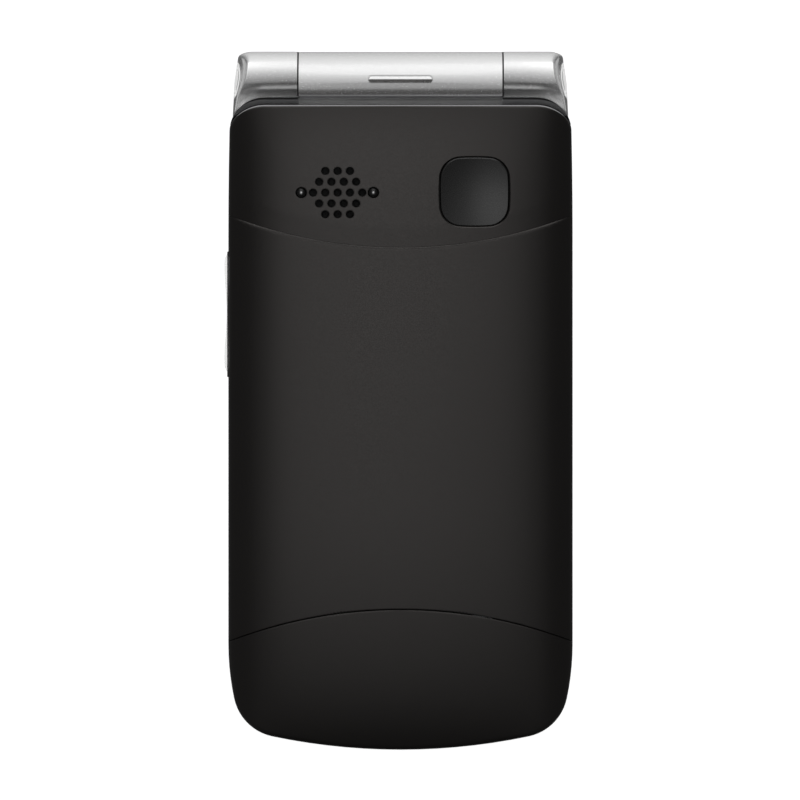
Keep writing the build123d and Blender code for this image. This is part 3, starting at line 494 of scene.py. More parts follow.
def clip_loop(loop, test_val, centre, r):
    """Cuts a closed loop with a circle; keeps points where test_val > 0 and follows the circle between."""
    pts = [np.array(p) for p in loop]
    val = [test_val(p) for p in pts]
    out = []
    n = len(pts)
    cross = []
    for k in range(n):
        p, q, a, b = pts[k], pts[(k + 1) % n], val[k], val[(k + 1) % n]
        if a > 0:
            out.append(tuple(p))
        if (a > 0) != (b > 0):
            t = a / (a - b)
            m = p + (q - p) * t
            # settle the point on the circle
            for _ in range(3):
                m = centre + (m - centre) / np.linalg.norm(m - centre) * r
            out.append(("x", tuple(m)))
    res = []
    k = 0
    m = len(out)
    # where two crossings follow each other the circle arc joins them
    i = 0
    while i < m:
        e = out[i]
        nx = out[(i + 1) % m]
        if isinstance(e[0], str) and isinstance(nx[0], str):
            a0 = math.atan2(e[1][1] - centre[1], e[1][0] - centre[0])
            a1 = math.atan2(nx[1][1] - centre[1], nx[1][0] - centre[0])
            while a1 - a0 > math.pi:
                a1 -= 2 * math.pi
            while a1 - a0 < -math.pi:
                a1 += 2 * math.pi
            arc = arc_pts(centre, r, a0, a1, 0.5)
            res += arc
            i += 2 if i + 1 < m else 1
        else:
            res.append(e[1] if isinstance(e[0], str) else e)
            i += 1
    return clean_loop(res)


def make_panel(name):
    full = clean_loop(outline(EDGE))
    cu, cl = np.array(seam_c(True)), np.array(seam_c(False))
    loop = full
    if name == "rear_top_panel":
        loop = clip_loop(loop, lambda p: (R_SEAM - GAP_UP) - np.linalg.norm(p - cu), cu, R_SEAM - GAP_UP)
    elif name == "antenna_cap":
        loop = clip_loop(loop, lambda p: (R_SEAM - SEAM) - np.linalg.norm(p - cl), cl, R_SEAM - SEAM)
    else:
        loop = clip_loop(loop, lambda p: np.linalg.norm(p - cu) - (R_SEAM + GAP_UP), cu, R_SEAM + GAP_UP)
        loop = clip_loop(loop, lambda p: np.linalg.norm(p - cl) - (R_SEAM + SEAM), cl, R_SEAM + SEAM)
    holes, circles = [], []
    if name == "rear_top_panel":
        for r, n in enumerate(GRILLE_ROWS):
            y = GRILLE[1] + (r - 2) * GRILLE_DY
            for c in range(n):
                circles.append((GRILLE[0] + (c - (n - 1) / 2) * GRILLE_DX, y, GRILLE_D / 2 - 0.02))
        for x in STUD_X:
            circles.append((x, GRILLE[1], STUD_D / 2))
        for x, y, r in circles:
            holes.append([(x + r * math.cos(t * math.tau / 32), y + r * math.sin(t * math.tau / 32)) for t in range(32)])
        holes.append(squircle(SOS_GAP - 0.03))
    # inner points: rings along the outer edge, along the seams and round the holes, and a grid
    cand = []
    for d in (0.04, 0.09, 0.16, 0.25, 0.36, 0.48, 0.62, 0.85, 1.17, 1.21, 1.6, 2.1, 2.7, 3.4, 4.2, 5.2, 6.3):
        cand += outline(EDGE + d, step=0.5 + d * 0.12)
    seams = []
    if name in ("rear_top_panel", "battery_cover"):
        seams.append((cu, R_SEAM - GAP_UP if name == "rear_top_panel" else R_SEAM + GAP_UP, -1 if name == "rear_top_panel" else 1))
    if name in ("antenna_cap", "battery_cover"):
        seams.append((cl, R_SEAM - SEAM if name == "antenna_cap" else R_SEAM + SEAM, -1 if name == "antenna_cap" else 1))
    for c, r, sg in seams:
        for d in (0.03, 0.07, 0.12, 0.17, 0.21, 0.23, 0.245, 0.32, 0.6, 1.0, 1.6, 2.4, 3.2, 3.35):
            up = c[1] < 0
            a0, a1 = (math.pi / 2 - 0.4, math.pi / 2 + 0.4) if up else (-math.pi / 2 - 0.4, -math.pi / 2 + 0.4)
            cand += arc_pts(c, r + sg * d, a0, a1, 0.5 + d * 0.3)
    for x, y, r in circles:
        for d in (0.03, 0.07, 0.12, 0.2):
            cand += [(x + (r + d) * math.cos((t + 0.5 * (int(d * 100) % 2)) * math.tau / 32), y + (r + d) * math.sin((t + 0.5 * (int(d * 100) % 2)) * math.tau / 32)) for t in range(32)]
    if name == "rear_top_panel":
        for d in (0.05, 0.1, 0.16, 0.175, 0.215, 0.3, 0.45, 0.8):
            cand += squircle(SOS_GAP - 0.03 + d)
    ring_n = len(cand)
    gx = np.arange(-25.0, 25.01, 1.25)
    gy = np.arange(-52.0, 44.1, 1.25)
    for x in gx:
        for y in gy:
            cand.append((x + 0.01, y + 0.013))
    C = np.array(cand, float)
    d, ins = poly_dist(C, loop)
    d_out, _ = poly_dist(C, full)
    keep = ins & (d > 0.025)
    for hl in holes:
        dh, ih = poly_dist(C, hl)
        keep &= ~ih & (dh > 0.022)
    isgrid = np.arange(len(C)) >= ring_n
    keep &= ~(isgrid & (d_out < 6.6))
    C = C[keep]
    isgrid = isgrid[keep]
    # thin out points that nearly coincide
    cell = {}
    sel = []
    for k in range(len(C)):
        key = (round(C[k, 0] / 0.03), round(C[k, 1] / 0.03))
        if key in cell:
            continue
        cell[key] = 1
        sel.append(k)
    C, isgrid = C[sel], isgrid[sel]
    allh = [poly_dist(C, hl)[0] for hl in holes]
    if allh:
        near = np.min(allh, axis=0)
        C = C[~(isgrid & (near < 0.5))]

    def z_top(x, y):
        P = np.c_[x, y]
        z = crown(x, y)
        do, _ = poly_dist(P, full)
        k = np.clip((y - 42.6) / 1.2, 0, 1)
        z = z - roll(do, 0.62, 0.5) * (1 - k) - roll(do, 0.22, 0.16) * k
        for c, r, sg in seams:
            ds = np.abs(np.hypot(x - c[0], y - c[1]) - r)
            # the cover's hinge-side edge is broken wide enough to catch the light
            if name == "battery_cover" and c[1] > 0:
                z = z - np.clip((0.23 - ds) / 0.23, 0, 1) * 0.15
            elif name == "rear_top_panel":
                # sinks a little towards the seam so that the cover's edge stays in the light
                z = z - 0.13 * np.clip((3.2 - ds) / 3.2, 0, 1)
            else:
                z = z - roll(ds, 0.05, 0.04)
        for cx, cy, r in circles:
            dh = np.hypot(x - cx, y - cy) - r
            z = z - roll(np.clip(dh, 0, None), 0.05, 0.04)
        if name == "rear_top_panel":
            dq, _ = poly_dist(P, holes[-1])
            z = z - np.clip((0.16 - dq) / 0.16, 0, 1) * 0.13
        return z

    def z_bot(x, y):
        P = np.c_[x, y]
        do, _ = poly_dist(P, full)
        return np.where(do < 1.19, Z_PART + 0.04, crown(x, y, SKIN))

    ob = sheet_mesh("shell_" + name, loop, holes, [tuple(p) for p in C], z_top, z_bot)
    ob.data.materials.append(MAT["back"])
    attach(ob, "battery_cover" if name == "battery_cover" else "base")
    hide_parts(name)
    return ob


for nm in ("rear_top_panel", "battery_cover", "antenna_cap"):
    make_panel(nm)


# ------------------------------------------------------------------ emergency button
def make_sos():
    loop = clean_loop(squircle(0.0))
    cand = []
    for d in (0.03, 0.07, 0.12, 0.16, 0.175, 0.215, 0.3, 0.5, 0.8, 1.2, 1.7, 2.3, 2.95):
        cand += [p for p in squircle(-d)] if d < 2.9 else []
    for x in np.arange(-5, 5.01, 0.5):
        for y in np.arange(-5, 5.01, 0.5):
            cand.append((SOS[0] + x + 0.003, SOS[1] + y + 0.005))
    C = np.array(cand)
    d, ins = poly_dist(C, loop)
    n_ring = len(cand) - 21 * 21
    g = np.arange(len(C)) >= n_ring
    keep = ins & (d > 0.02) & ~(g & (d < 2.5))
    C = C[keep]

    def z_top(x, y):
        z = 18.0 + (x - SOS[0] - 1.8) ** 2 / 62.0 + (y - SOS[1] + 0.8) ** 2 / 46.0
        dd, _ = poly_dist(np.c_[x, y], loop)
        return z - np.clip((0.16 - dd) / 0.16, 0, 1) * 0.13

    ob = sheet_mesh("sos_cap", loop, [], [tuple(p) for p in C], z_top, lambda x, y: np.full(len(x), 16.9))
    ob.data.materials.append(MAT["button"])
    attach(ob, "sos_button")
    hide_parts("sos_button")


make_sos()


def stud_painted_highlight_material():
    """Black domed stud with a painted highlight: a bright, more metallic colour at the centre that fades to black."""
    m, nt, b = material("stud")
    c = coords(nt)
    sep = nt.nodes.new("ShaderNodeSeparateXYZ")
    nt.links.new(c, sep.inputs[0])

    def calc(op, a, v):
        n = nt.nodes.new("ShaderNodeMath")
        n.operation = op
        nt.links.new(a, n.inputs[0])
        if isinstance(v, float):
            n.inputs[1].default_value = v
        else:
            nt.links.new(v, n.inputs[1])
        return n.outputs[0]

    x2 = calc("MULTIPLY", sep.outputs["X"], sep.outputs["X"])
    y2 = calc("MULTIPLY", sep.outputs["Y"], sep.outputs["Y"])
    r = calc("POWER", calc("ADD", x2, y2), 0.5)
    t = remap(nt, r, 0.0, 1.0, 0.0, 0.0008)
    # painted highlight: bright centre fading to black with the distance from the stud's axis
    nt.links.new(ramp(nt, t, [(0.0, (0.82,) * 3), (0.16, (0.62,) * 3), (0.36, (0.10,) * 3), (0.55, (0.012,) * 3)]), b.inputs["Base Color"])
    nt.links.new(remap(nt, t, 1.0, 0.0, 0.3, 0.6), b.inputs["Metallic"])
    nt.links.new(remap(nt, noise(nt, c, 4000.0, 2.0), 0.2, 0.3), b.inputs["Roughness"])
    return m


MAT["stud"] = stud_painted_highlight_material()


def make_studs():
    for sx in STUD_X:
        z0 = float(crown(np.array([sx]), np.array([GRILLE[1]]))[0])
        R = 0.755
        loop = [(R * math.cos(t * math.tau / 48), R * math.sin(t * math.tau / 48)) for t in range(48)]
        cand = [(0.0, 0.0)]
        for r in (0.72, 0.66, 0.58, 0.5, 0.42, 0.34, 0.26, 0.18, 0.1):
            n = max(8, int(60 * r))
            cand += [(r * math.cos((t + 0.5) * math.tau / n), r * math.sin((t + 0.5) * math.tau / n)) for t in range(n)]

        def top(x, y):
            q = np.hypot(x, y)
            return z0 + 0.2 - 0.42 * (q / R) ** 2

        ob = sheet_mesh("stud_" + ("l" if sx < GRILLE[0] else "r"), loop, [], cand, top, lambda x, y: np.full(len(x), z0 - 1.3))
        ob.location = (sx * MM, GRILLE[1] * MM, 0)
        ob.data.materials.append(MAT["stud"])
        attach(ob, "base")
        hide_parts("grille_studs")


make_studs()

# ------------------------------------------------------------------ hinge knuckles
AX_Y, AX_Z, X_KN = 48.75, 9.6, 15.72
KN_Y, KN_Z, R_KN = 49.75, 10.1, 3.4


def catmull(P, n=8):
    P = [np.array(p, float) for p in P]
    P = [2 * P[0] - P[1]] + P + [2 * P[-1] - P[-2]]
    out = []
    for k in range(1, len(P) - 2):
        a, b, c, d = P[k - 1:k + 3]
        for j in range(n):
            t = j / n
            out.append(tuple(0.5 * (2 * b + (c - a) * t + (2 * a - 5 * b + 4 * c - d) * t * t + (3 * b - a - 3 * c + d) * t ** 3)))
    return out + [tuple(P[-2])]


def knuckle_section():
    """Outer run of the section in (Y, Z), from the lid's end over the nose to the lip side."""
    ay, az = 45.6, 1.5
    dy, dz = KN_Y - ay, KN_Z - az
    dd = math.hypot(dy, dz)
    dirn = math.atan2(dz, dy) - math.asin(R_KN / dd)
    tl = math.sqrt(dd * dd - R_KN ** 2)
    ty, tz = ay + tl * math.cos(dirn), az + tl * math.sin(dirn)
    run = [(ay + (ty - ay) * k / 16, az + (tz - az) * k / 16) for k in range(16)]
    run += arc_pts((KN_Y, KN_Z), R_KN, math.atan2(tz - KN_Z, ty - KN_Y), math.radians(118), 0.12)
    e = run[-1]
    run += catmull([e, (47.4, 12.62), (46.8, 12.2), (46.2, 11.88), (44.8, 11.4), (42.6, 10.9)], 7)[1:]
    return run


def knuckle_end(y, z):
    """X of the outer end of a knuckle: leaning, and domed above the axis."""
    lid = HW - 0.12 - (400.0 - np.sqrt(400.0 ** 2 - (y - 25.0) ** 2))
    x = np.minimum(25.30 - 0.14 * (y - AX_Y), lid)
    return x - 0.95 * (np.clip(z - 9.0, 0, None) / 3.4) ** 2


def seg_dist(P, run):
    A, B = np.array(run[:-1]), np.array(run[1:])
    ab = B - A
    t = np.clip(((P[:, None] - A[None]) * ab[None]).sum(-1) / (ab ** 2).sum(-1)[None], 0, 1)
    q = A[None] + ab[None] * t[..., None]
    return np.sqrt(((P[:, None] - q) ** 2).sum(-1)).min(1)


def x_sheet(name, loop, inner, x_out, x_in, sign):
    """Closed solid over a (Y, Z) region, lying between x_in and x_out; sign -1 mirrors it."""
    ob = sheet_mesh(name, loop, [], inner, x_out, x_in)
    me = ob.data
    co = np.empty(len(me.vertices) * 3)
    me.vertices.foreach_get("co", co)
    co = co.reshape(-1, 3)
    co = np.c_[co[:, 2] * sign, co[:, 0], co[:, 1]]
    me.vertices.foreach_set("co", co.ravel())
    if sign < 0:
        me.flip_normals()
    me.update()
    return ob


def boolean(ob, cutter):
    m = ob.modifiers.new("cut", "BOOLEAN")
    m.operation = "DIFFERENCE"
    m.solver = "EXACT"
    m.object = cutter
    dg = bpy.context.evaluated_depsgraph_get()
    me = bpy.data.meshes.new_from_object(ob.evaluated_get(dg))
    ob.modifiers.clear()
    old = ob.data
    ob.data = me
    bpy.data.meshes.remove(old)
    cm = cutter.data
    bpy.data.objects.remove(cutter)
    bpy.data.meshes.remove(cm)
    for p in ob.data.polygons:
        p.use_smooth = True
    ob.data.set_sharp_from_angle(angle=math.radians(38))


def make_knuckle(sign):
    run = knuckle_section()
    loop = clean_loop([(42.6, 10.9 - 0.4 * k) for k in range(0, 0)] + run + [(42.6, 10.9 - (10.9 - 1.5) * k / 12) for k in range(1, 13)] + [(42.6 + 0.5 * k, 1.5) for k in range(1, 6)], 0.01)
    cand = []
    A = np.array(run)
    T = np.gradient(A, axis=0)
    T /= np.linalg.norm(T, axis=1)[:, None]
    N = np.c_[-T[:, 1], T[:, 0]]
    for d in (0.03, 0.08, 0.15, 0.24, 0.35, 0.48, 0.63, 0.8, 1.0, 1.2, 1.4, 1.65, 1.9):
        cand += [tuple(v) for v in (A + N * d)[::1 if d < 0.7 else 2]]
    for r in (2.76, 2.80, 2.84, 2.88, 2.94):
        cand += [(AX_Y + r * math.cos(t * math.tau / 72), AX_Z + r * math.sin(t * math.tau / 72)) for t in range(72)]
    n_ring = len(cand)
    for y in np.arange(42.6, 53.2, 0.35):
        for z in np.arange(1.5, 13.6, 0.35):
            cand.append((y + 0.011, z + 0.007))
    C = np.array(cand)
    d, ins = poly_dist(C, loop)
    ds = seg_dist(C, run)
    r = np.hypot(C[:, 0] - AX_Y, C[:, 1] - AX_Z)
    g = np.arange(len(C)) >= n_ring
    keep = ins & (d > 0.02) & ~(g & ((ds < 2.0) | ((r > 2.6) & (r < 3.1))))
    C = C[keep]
    cell, sel = {}, []
    for k in range(len(C)):
        key = (round(C[k, 0] / 0.05), round(C[k, 1] / 0.05))
        if key not in cell:
            cell[key] = 1
            sel.append(k)
    C = C[sel]

    def out(y, z):
        P = np.c_[y, z]
        ds = seg_dist(P, run)
        k = np.clip((y - KN_Y) / R_KN, 0, 1) ** 2
        w, h = 0.38 + 0.75 * k, 0.32 + 1.6 * k
        x = knuckle_end(y, z)
        kk = np.clip((w - ds) / w, 0, 1)
        x = x - h * (1 - np.sqrt(np.clip(1 - kk * kk, 0, 1)))
        r = np.hypot(y - AX_Y, z - AX_Z)
        return x - 0.32 * np.clip((2.86 - r) / 0.07, 0, 1)

    ob = x_sheet("knuckle_shell_" + ("r" if sign > 0 else "l"), loop, [tuple(p) for p in C], out, lambda y, z: np.full(len(y), X_KN), sign)
    # clear of the base's lip
    lip = clean_loop(outline(-0.25, "lip", 0.4), 0.02)
    cut = sheet_mesh("cutter", lip, [], [], lambda x, y: np.full(len(x), 20.0), lambda x, y: np.full(len(x), 8.02))
    boolean(ob, cut)
    if sign > 0:
        # the bore that the flex cable runs through
        n, r = 64, 2.1
        ring = [(AX_Y + r * math.cos(math.tau * k / n), AX_Z + r * math.sin(math.tau * k / n)) for k in range(n)]
        co = [(x * MM, y * MM, z * MM) for x in (15.0, 22.6) for y, z in ring]
        faces = [(k, (k + 1) % n, n + (k + 1) % n, n + k) for k in range(n)] + [tuple(range(n - 1, -1, -1)), tuple(range(n, 2 * n))]
        bm = bpy.data.meshes.new("bore")
        bm.from_pydata(co, [], faces)
        bore = bpy.data.objects.new("bore", bm)
        bpy.context.collection.objects.link(bore)
        boolean(ob, bore)
    ob.data.materials.clear()
    ob.data.materials.append(MAT["silver"])
    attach(ob, "lid")
    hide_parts("hinge_knuckles")


def make_cap(sign):
    R = 2.74
    loop = [(AX_Y + R * math.cos(t * math.tau / 96), AX_Z + R * math.sin(t * math.tau / 96)) for t in range(96)]
    cand = []
    for r in (2.71, 2.66, 2.6, 2.52, 2.42, 2.3, 2.2, 2.16, 2.12, 2.08, 2.04, 1.98, 1.9, 1.75, 1.5, 1.2, 0.9, 0.6, 0.3):
        n = max(8, int(96 * r / R))
        cand += [(AX_Y + r * math.cos((t + 0.5) * math.tau / n), AX_Z + r * math.sin((t + 0.5) * math.tau / n)) for t in range(n)]

    def out(y, z):
        r = np.hypot(y - AX_Y, z - AX_Z)
        x = knuckle_end(y, z) + 0.06
        x = x - roll(np.clip(R - r, 0, None), 0.22, 0.2)
        return x - 0.34 * np.exp(-((r - 2.1) / 0.075) ** 2)

    ob = x_sheet("end_cap_" + ("r" if sign > 0 else "l"), loop, cand, out, lambda y, z: knuckle_end(y, z) - 0.5, sign)
    ob.data.materials.append(MAT["chrome"])
    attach(ob, "lid")
    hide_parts("hinge_end_caps")


for sg in (1, -1):
    make_knuckle(sg)
    make_cap(sg)


def make_washer(sign):
    """Dark spacer that fills the slit beside the barrel right out to its edge; its black also stands in for the shade
    in the slit.
    """
    sec = [p for p in knuckle_section() if p[0] >= 46.3]
    cen = np.array([KN_Y - 1.2, KN_Z - 1.4])
    ring = [tuple(cen + (np.array(p) - cen) * (1 - 0.05 / max(0.5, np.linalg.norm(np.array(p) - cen)))) for p in sec]
    loop = clean_loop(ring + [(46.35, 9.6), (46.35, 6.0)], 0.02)
    hole = [(AX_Y + 2.7 * math.cos(t * math.tau / 48), AX_Z + 2.7 * math.sin(t * math.tau / 48)) for t in range(48)]
    ob = sheet_mesh("washer_" + ("r" if sign > 0 else "l"), loop, [hole], [], lambda y, z: np.full(len(y), 15.705), lambda y, z: np.full(len(y), 15.50))
    me = ob.data
    co = np.empty(len(me.vertices) * 3)
    me.vertices.foreach_get("co", co)
    co = co.reshape(-1, 3)
    me.vertices.foreach_set("co", np.c_[co[:, 2] * sign, co[:, 0], co[:, 1]].ravel())
    if sign < 0:
        me.flip_normals()
    me.update()
    me.materials.append(MAT["rubber"])
    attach(ob, "lid")
    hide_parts("hinge_washers")


for sg in (1, -1):
    make_washer(sg)


def make_bar():
    """Raised bar on the spine: its crest leans to the hinge side and drops steeply on the other."""
    lo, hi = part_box("spine_bar")
    cx, hl = (lo.x + hi.x) / 2 / MM, (hi.x - lo.x) / 2 / MM
    cy, r = (lo.y + hi.y) / 2 / MM - 0.16, 0.54
    loop = [(cx + hl - r + r * math.cos(a), cy + r * math.sin(a)) for a in np.linspace(-math.pi / 2, math.pi / 2, 17)]
    loop += [(cx + hl - r - (2 * hl - 2 * r) * k / 24, cy + r) for k in range(1, 24)]
    loop += [(cx - hl + r + r * math.cos(a), cy + r * math.sin(a)) for a in np.linspace(math.pi / 2, 1.5 * math.pi, 17)]
    loop += [(cx - hl + r + (2 * hl - 2 * r) * k / 24, cy - r) for k in range(1, 24)]
    loop = clean_loop(loop)
    cand = []
    for d in (0.04, 0.08, 0.13, 0.18, 0.24, 0.3, 0.36, 0.42, 0.48):
        q = r - d
        cand += [(cx + s * (hl - r) + s * q * math.cos(a), cy + q * math.sin(a)) for s in (1, -1) for a in np.linspace(-math.pi / 2, math.pi / 2, 13)]
        cand += [(cx + x, cy + s * q) for s in (1, -1) for x in np.linspace(-(hl - r), hl - r, 26)[1:-1]]
    cand += [(cx + x, cy) for x in np.linspace(-(hl - r), hl - r, 26)]
    top = hi.z / MM - 0.04

    def z_top(x, y):
        d, _ = poly_dist(np.c_[x, y], loop)
        v = np.clip((y - cy) / r, -1, 1)
        z = top - 0.33 * r * np.clip(v - 0.1, 0, None) - 0.78 * r * np.clip(0.06 - v, 0, None)
        return z - roll(d, 0.12, 0.1)

    ob = sheet_mesh("spine_bar_crest", loop, [], cand, z_top, lambda x, y: np.full(len(x), lo.z / MM))
    ob.data.materials.append(MAT["silver"])
    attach(ob, "base")
    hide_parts("spine_bar")


make_bar()

# ------------------------------------------------------------------ CAD nodes: finishes
SLOT_MAT = {
    "silver": "silver", "back_black": "back", "gloss_black": "gloss_black", "frame_black": "frame_black",
    "key_black": "key_black", "key_green": "key_green", "key_red": "key_red", "chrome_trim": "chrome",
    "lens": "lens", "display": "display", "steel": "steel", "spring_steel": "spring", "board": "board",
    "battery_wrap": "wrap", "rubber_black": "rubber", "silicone": "silicone", "polyimide": "polyimide", "mesh_black": "mesh",
}
slot_of = {s["node"]: s["material_slot"] for s in frame["record"]["subparts"]}
for node, ob in frame["nodes"].items():
    ob.data.materials.clear()
    own = {"base_frame": "frame_silver", "top_trim": "trim"}
    ob.data.materials.append(MAT[own.get(node, SLOT_MAT[slot_of[node]])])
    # the faces come in unjoined: join them and shade by face area
    w = ob.modifiers.new("weld", "WELD")
    w.merge_threshold = 0.000002
    for p in ob.data.polygons:
        p.use_smooth = True
    e = ob.modifiers.new("sharp", "EDGE_SPLIT")
    e.split_angle = math.radians(32)
    n = ob.modifiers.new("shade", "WEIGHTED_NORMAL")
    n.weight = 60

# ------------------------------------------------------------------ key legends (they face -Z and read with the hinge up)
LEGEND = {
    "key_1": "1", "key_2": "2", "key_3": "3", "key_4": "4", "key_5": "5", "key_6": "6", "key_7": "7", "key_8": "8",
    "key_9": "9", "key_star": "*", "key_0": "0", "key_hash": "#", "key_ok": "OK",
}


def legend(node, parts, body):
    lo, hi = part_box(node)
    cx, cy = (lo.x + hi.x) / 2, (lo.y + hi.y) / 2
    bm = bmesh.new()
    for kind, size, dx, dy, txt in parts:
        if kind == "text":
            cu = bpy.data.curves.new("t", "FONT")
            cu.body = txt
            cu.size = size * MM
            cu.align_x, cu.align_y = "CENTER", "CENTER"
            cu.extrude = 0.03 * MM
            cu.offset = 0.035 * MM
            cu.resolution_u = 4
            tmp = bpy.data.objects.new("t", cu)
            bpy.context.collection.objects.link(tmp)
            me = bpy.data.meshes.new_from_object(tmp.evaluated_get(bpy.context.evaluated_depsgraph_get()))
            bpy.data.objects.remove(tmp)
            bpy.data.curves.remove(cu)
            co = np.array([v.co for v in me.vertices])
            mid = (co.min(0) + co.max(0)) / 2
            # read from below: x runs the other way
            me.transform(Matrix(((-1, 0, 0, mid[0] + dx * MM), (0, 1, 0, -mid[1] + dy * MM), (0, 0, -1, 0), (0, 0, 0, 1))))
            bm.from_mesh(me)
            bpy.data.meshes.remove(me)
        else:
            pts = [(x * size + dx, y * size + dy) for x, y in txt]
            vs = [[bm.verts.new((x * MM, y * MM, z * 0.03 * MM)) for x, y in pts] for z in (-1, 1)]
            n = len(pts)
            bm.faces.new(vs[0])
            bm.faces.new(vs[1][::-1])
            for k in range(n):
                bm.faces.new((vs[0][k], vs[0][(k + 1) % n], vs[1][(k + 1) % n], vs[1][k]))
    bmesh.ops.remove_doubles(bm, verts=bm.verts, dist=1e-7)
    bmesh.ops.recalc_face_normals(bm, faces=bm.faces)
    me = bpy.data.meshes.new("legend_" + node)
    bm.to_mesh(me)
    bm.free()
    me.transform(Matrix.Translation((cx, cy, lo.z - 0.005 * MM)))
    ob = bpy.data.objects.new("legend_" + node, me)
    bpy.context.collection.objects.link(ob)
    me.materials.append(MAT["legend"])
    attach(ob, body)


for nm, t in LEGEND.items():
    legend(nm, [("text", 4.9 if len(t) == 1 else 3.0, 0, 0, t)], nm)
# handset outline on the call and end keys, a short bar on the soft keys, arrows on the navigation ring
BAR = [(-0.5, -0.14), (0.5, -0.14), (0.5, 0.14), (-0.5, 0.14)]


def handset(turn):
    out = []
    for r, seq in ((2.5, range(9)), (1.85, range(8, -1, -1))):
        for k in seq:
            a = math.radians(35 + 110 * k / 8)
            out.append((r * math.cos(a), r * math.sin(a) - 1.75))
    # ear pieces
    left = [(-1.55, -0.95), (-2.2, -0.75)]
    body = out[:9] + [(-2.45, -0.55), (-1.75, -0.98)] + out[9:] + [(1.75, -0.98), (2.45, -0.55)]
    co, si = math.cos(turn), math.sin(turn)
    return [(x * co - y * si, x * si + y * co) for x, y in body]


legend("key_call", [("poly", 1.0, 0, 0.2, handset(math.radians(-50)))], "key_call")
legend("key_end", [("poly", 1.0, 0, 0.3, handset(0.0))], "key_end")
for nm in ("key_soft_left", "key_soft_right"):
    legend(nm, [("poly", 3.2, 0, 0, BAR)], nm)
TRI = [(-0.9, -0.5), (0.9, -0.5), (0.0, 0.7)]
lo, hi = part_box("key_nav")
ry = (hi.y - lo.y) / 2 / MM - 2.0
legend("key_nav", [("poly", 1.0, 0, ry, TRI), ("poly", 1.0, 0, -ry, [(-x, -y) for x, y in TRI])], "key_nav")

# ------------------------------------------------------------------ floor, light, camera
def floor():
    me = bpy.data.meshes.new("floor")
    s = 6.0
    me.from_pydata([(-s, -s, -0.0002), (s, -s, -0.0002), (s, s, -0.0002), (-s, s, -0.0002)], [], [(0, 1, 2, 3)])
    ob = bpy.data.objects.new("floor", me)
    bpy.context.collection.objects.link(ob)
    m, nt, b = material("floor_white")
    b.inputs["Base Color"].default_value = (0.85, 0.85, 0.85, 1)
    b.inputs["Roughness"].default_value = 0.9
    b.inputs["Emission Color"].default_value = (1, 1, 1, 1)
    b.inputs["Emission Strength"].default_value = 0.96
    me.materials.append(m)
    ob.visible_glossy = False
    ob.visible_diffuse = False


floor()


def panel_shader(nt, em, clear):
    """Sends the emission out; a clear panel also lets what lies behind it through."""
    out = nt.nodes.new("ShaderNodeOutputMaterial")
    if not clear:
        nt.links.new(em.outputs[0], out.inputs[0])
        return
    tr = nt.nodes.new("ShaderNodeBsdfTransparent")
    ad = nt.nodes.new("ShaderNodeAddShader")
    nt.links.new(em.outputs[0], ad.inputs[0])
    nt.links.new(tr.outputs[0], ad.inputs[1])
    nt.links.new(ad.outputs[0], out.inputs[0])


def overhead(name, h, x0, x1, fade, stops, receivers, clear):
    """Long soft panel over the phone, brighter towards the hinge end, lighting one set of pieces."""
    y0, y1 = -0.50, 0.70
    me = bpy.data.meshes.new(name)
    me.from_pydata([(x0, y0, h), (x0, y1, h), (x1, y1, h), (x1, y0, h)], [], [(0, 1, 2, 3)])
    ob = bpy.data.objects.new(name, me)
    bpy.context.collection.objects.link(ob)
    m = bpy.data.materials.new(name)
    m.use_nodes = True
    nt = m.node_tree
    nt.nodes.clear()
    em = nt.nodes.new("ShaderNodeEmission")
    panel_shader(nt, em, clear)
    sep = nt.nodes.new("ShaderNodeSeparateXYZ")
    nt.links.new(coords(nt), sep.inputs[0])
    t = remap(nt, sep.outputs["Y"], 0.0, 1.0, y0, y1)
    g = ramp(nt, t, [(p, (v,) * 3) for p, v in stops])
    e0 = remap(nt, sep.outputs["X"], 0.0, 1.0, x0, x0 + fade)
    e1 = remap(nt, sep.outputs["X"], 1.0, 0.0, x1 - fade, x1)
    mul = nt.nodes.new("ShaderNodeMath")
    mul.operation = "MULTIPLY"
    nt.links.new(e0, mul.inputs[0])
    nt.links.new(e1, mul.inputs[1])
    nt.links.new(mul.outputs[0], em.inputs["Strength"])
    nt.links.new(g, em.inputs["Color"])
    me.materials.append(m)
    ob.visible_camera = False
    ob.visible_shadow = False
    ob.visible_transmission = False
    ob.light_linking.receiver_collection = receivers


SILVER = bpy.data.collections.new("silver_receivers")
OTHERS = bpy.data.collections.new("other_receivers")
BRIGHT = (MAT["silver"], MAT["frame_silver"], MAT["trim"], MAT["chrome"], MAT["steel"])
for o in list(bpy.data.objects):
    if o.type == "MESH" and not o.name.startswith("floor"):
        (SILVER if o.data.materials and o.data.materials[0] in BRIGHT else OTHERS).objects.link(o)
overhead("softbox_silver", 0.35, -0.42, 0.42, 0.12,
         [(0.0, 0.09), (0.071, 0.13), (0.246, 0.24), (0.3575, 0.40), (0.4425, 0.60), (0.525, 0.83), (0.593, 1.04), (0.678, 1.22), (0.782, 1.22), (0.943, 1.12)], SILVER, True)
overhead("softbox_black", 0.36, -0.118, 0.088, 0.05,
         [(0.0, 0.03), (0.071, 0.05), (0.246, 0.15), (0.3575, 0.40), (0.4425, 0.82), (0.525, 0.84), (0.593, 0.62), (0.678, 0.40), (0.782, 0.32), (0.943, 0.26)], OTHERS, False)


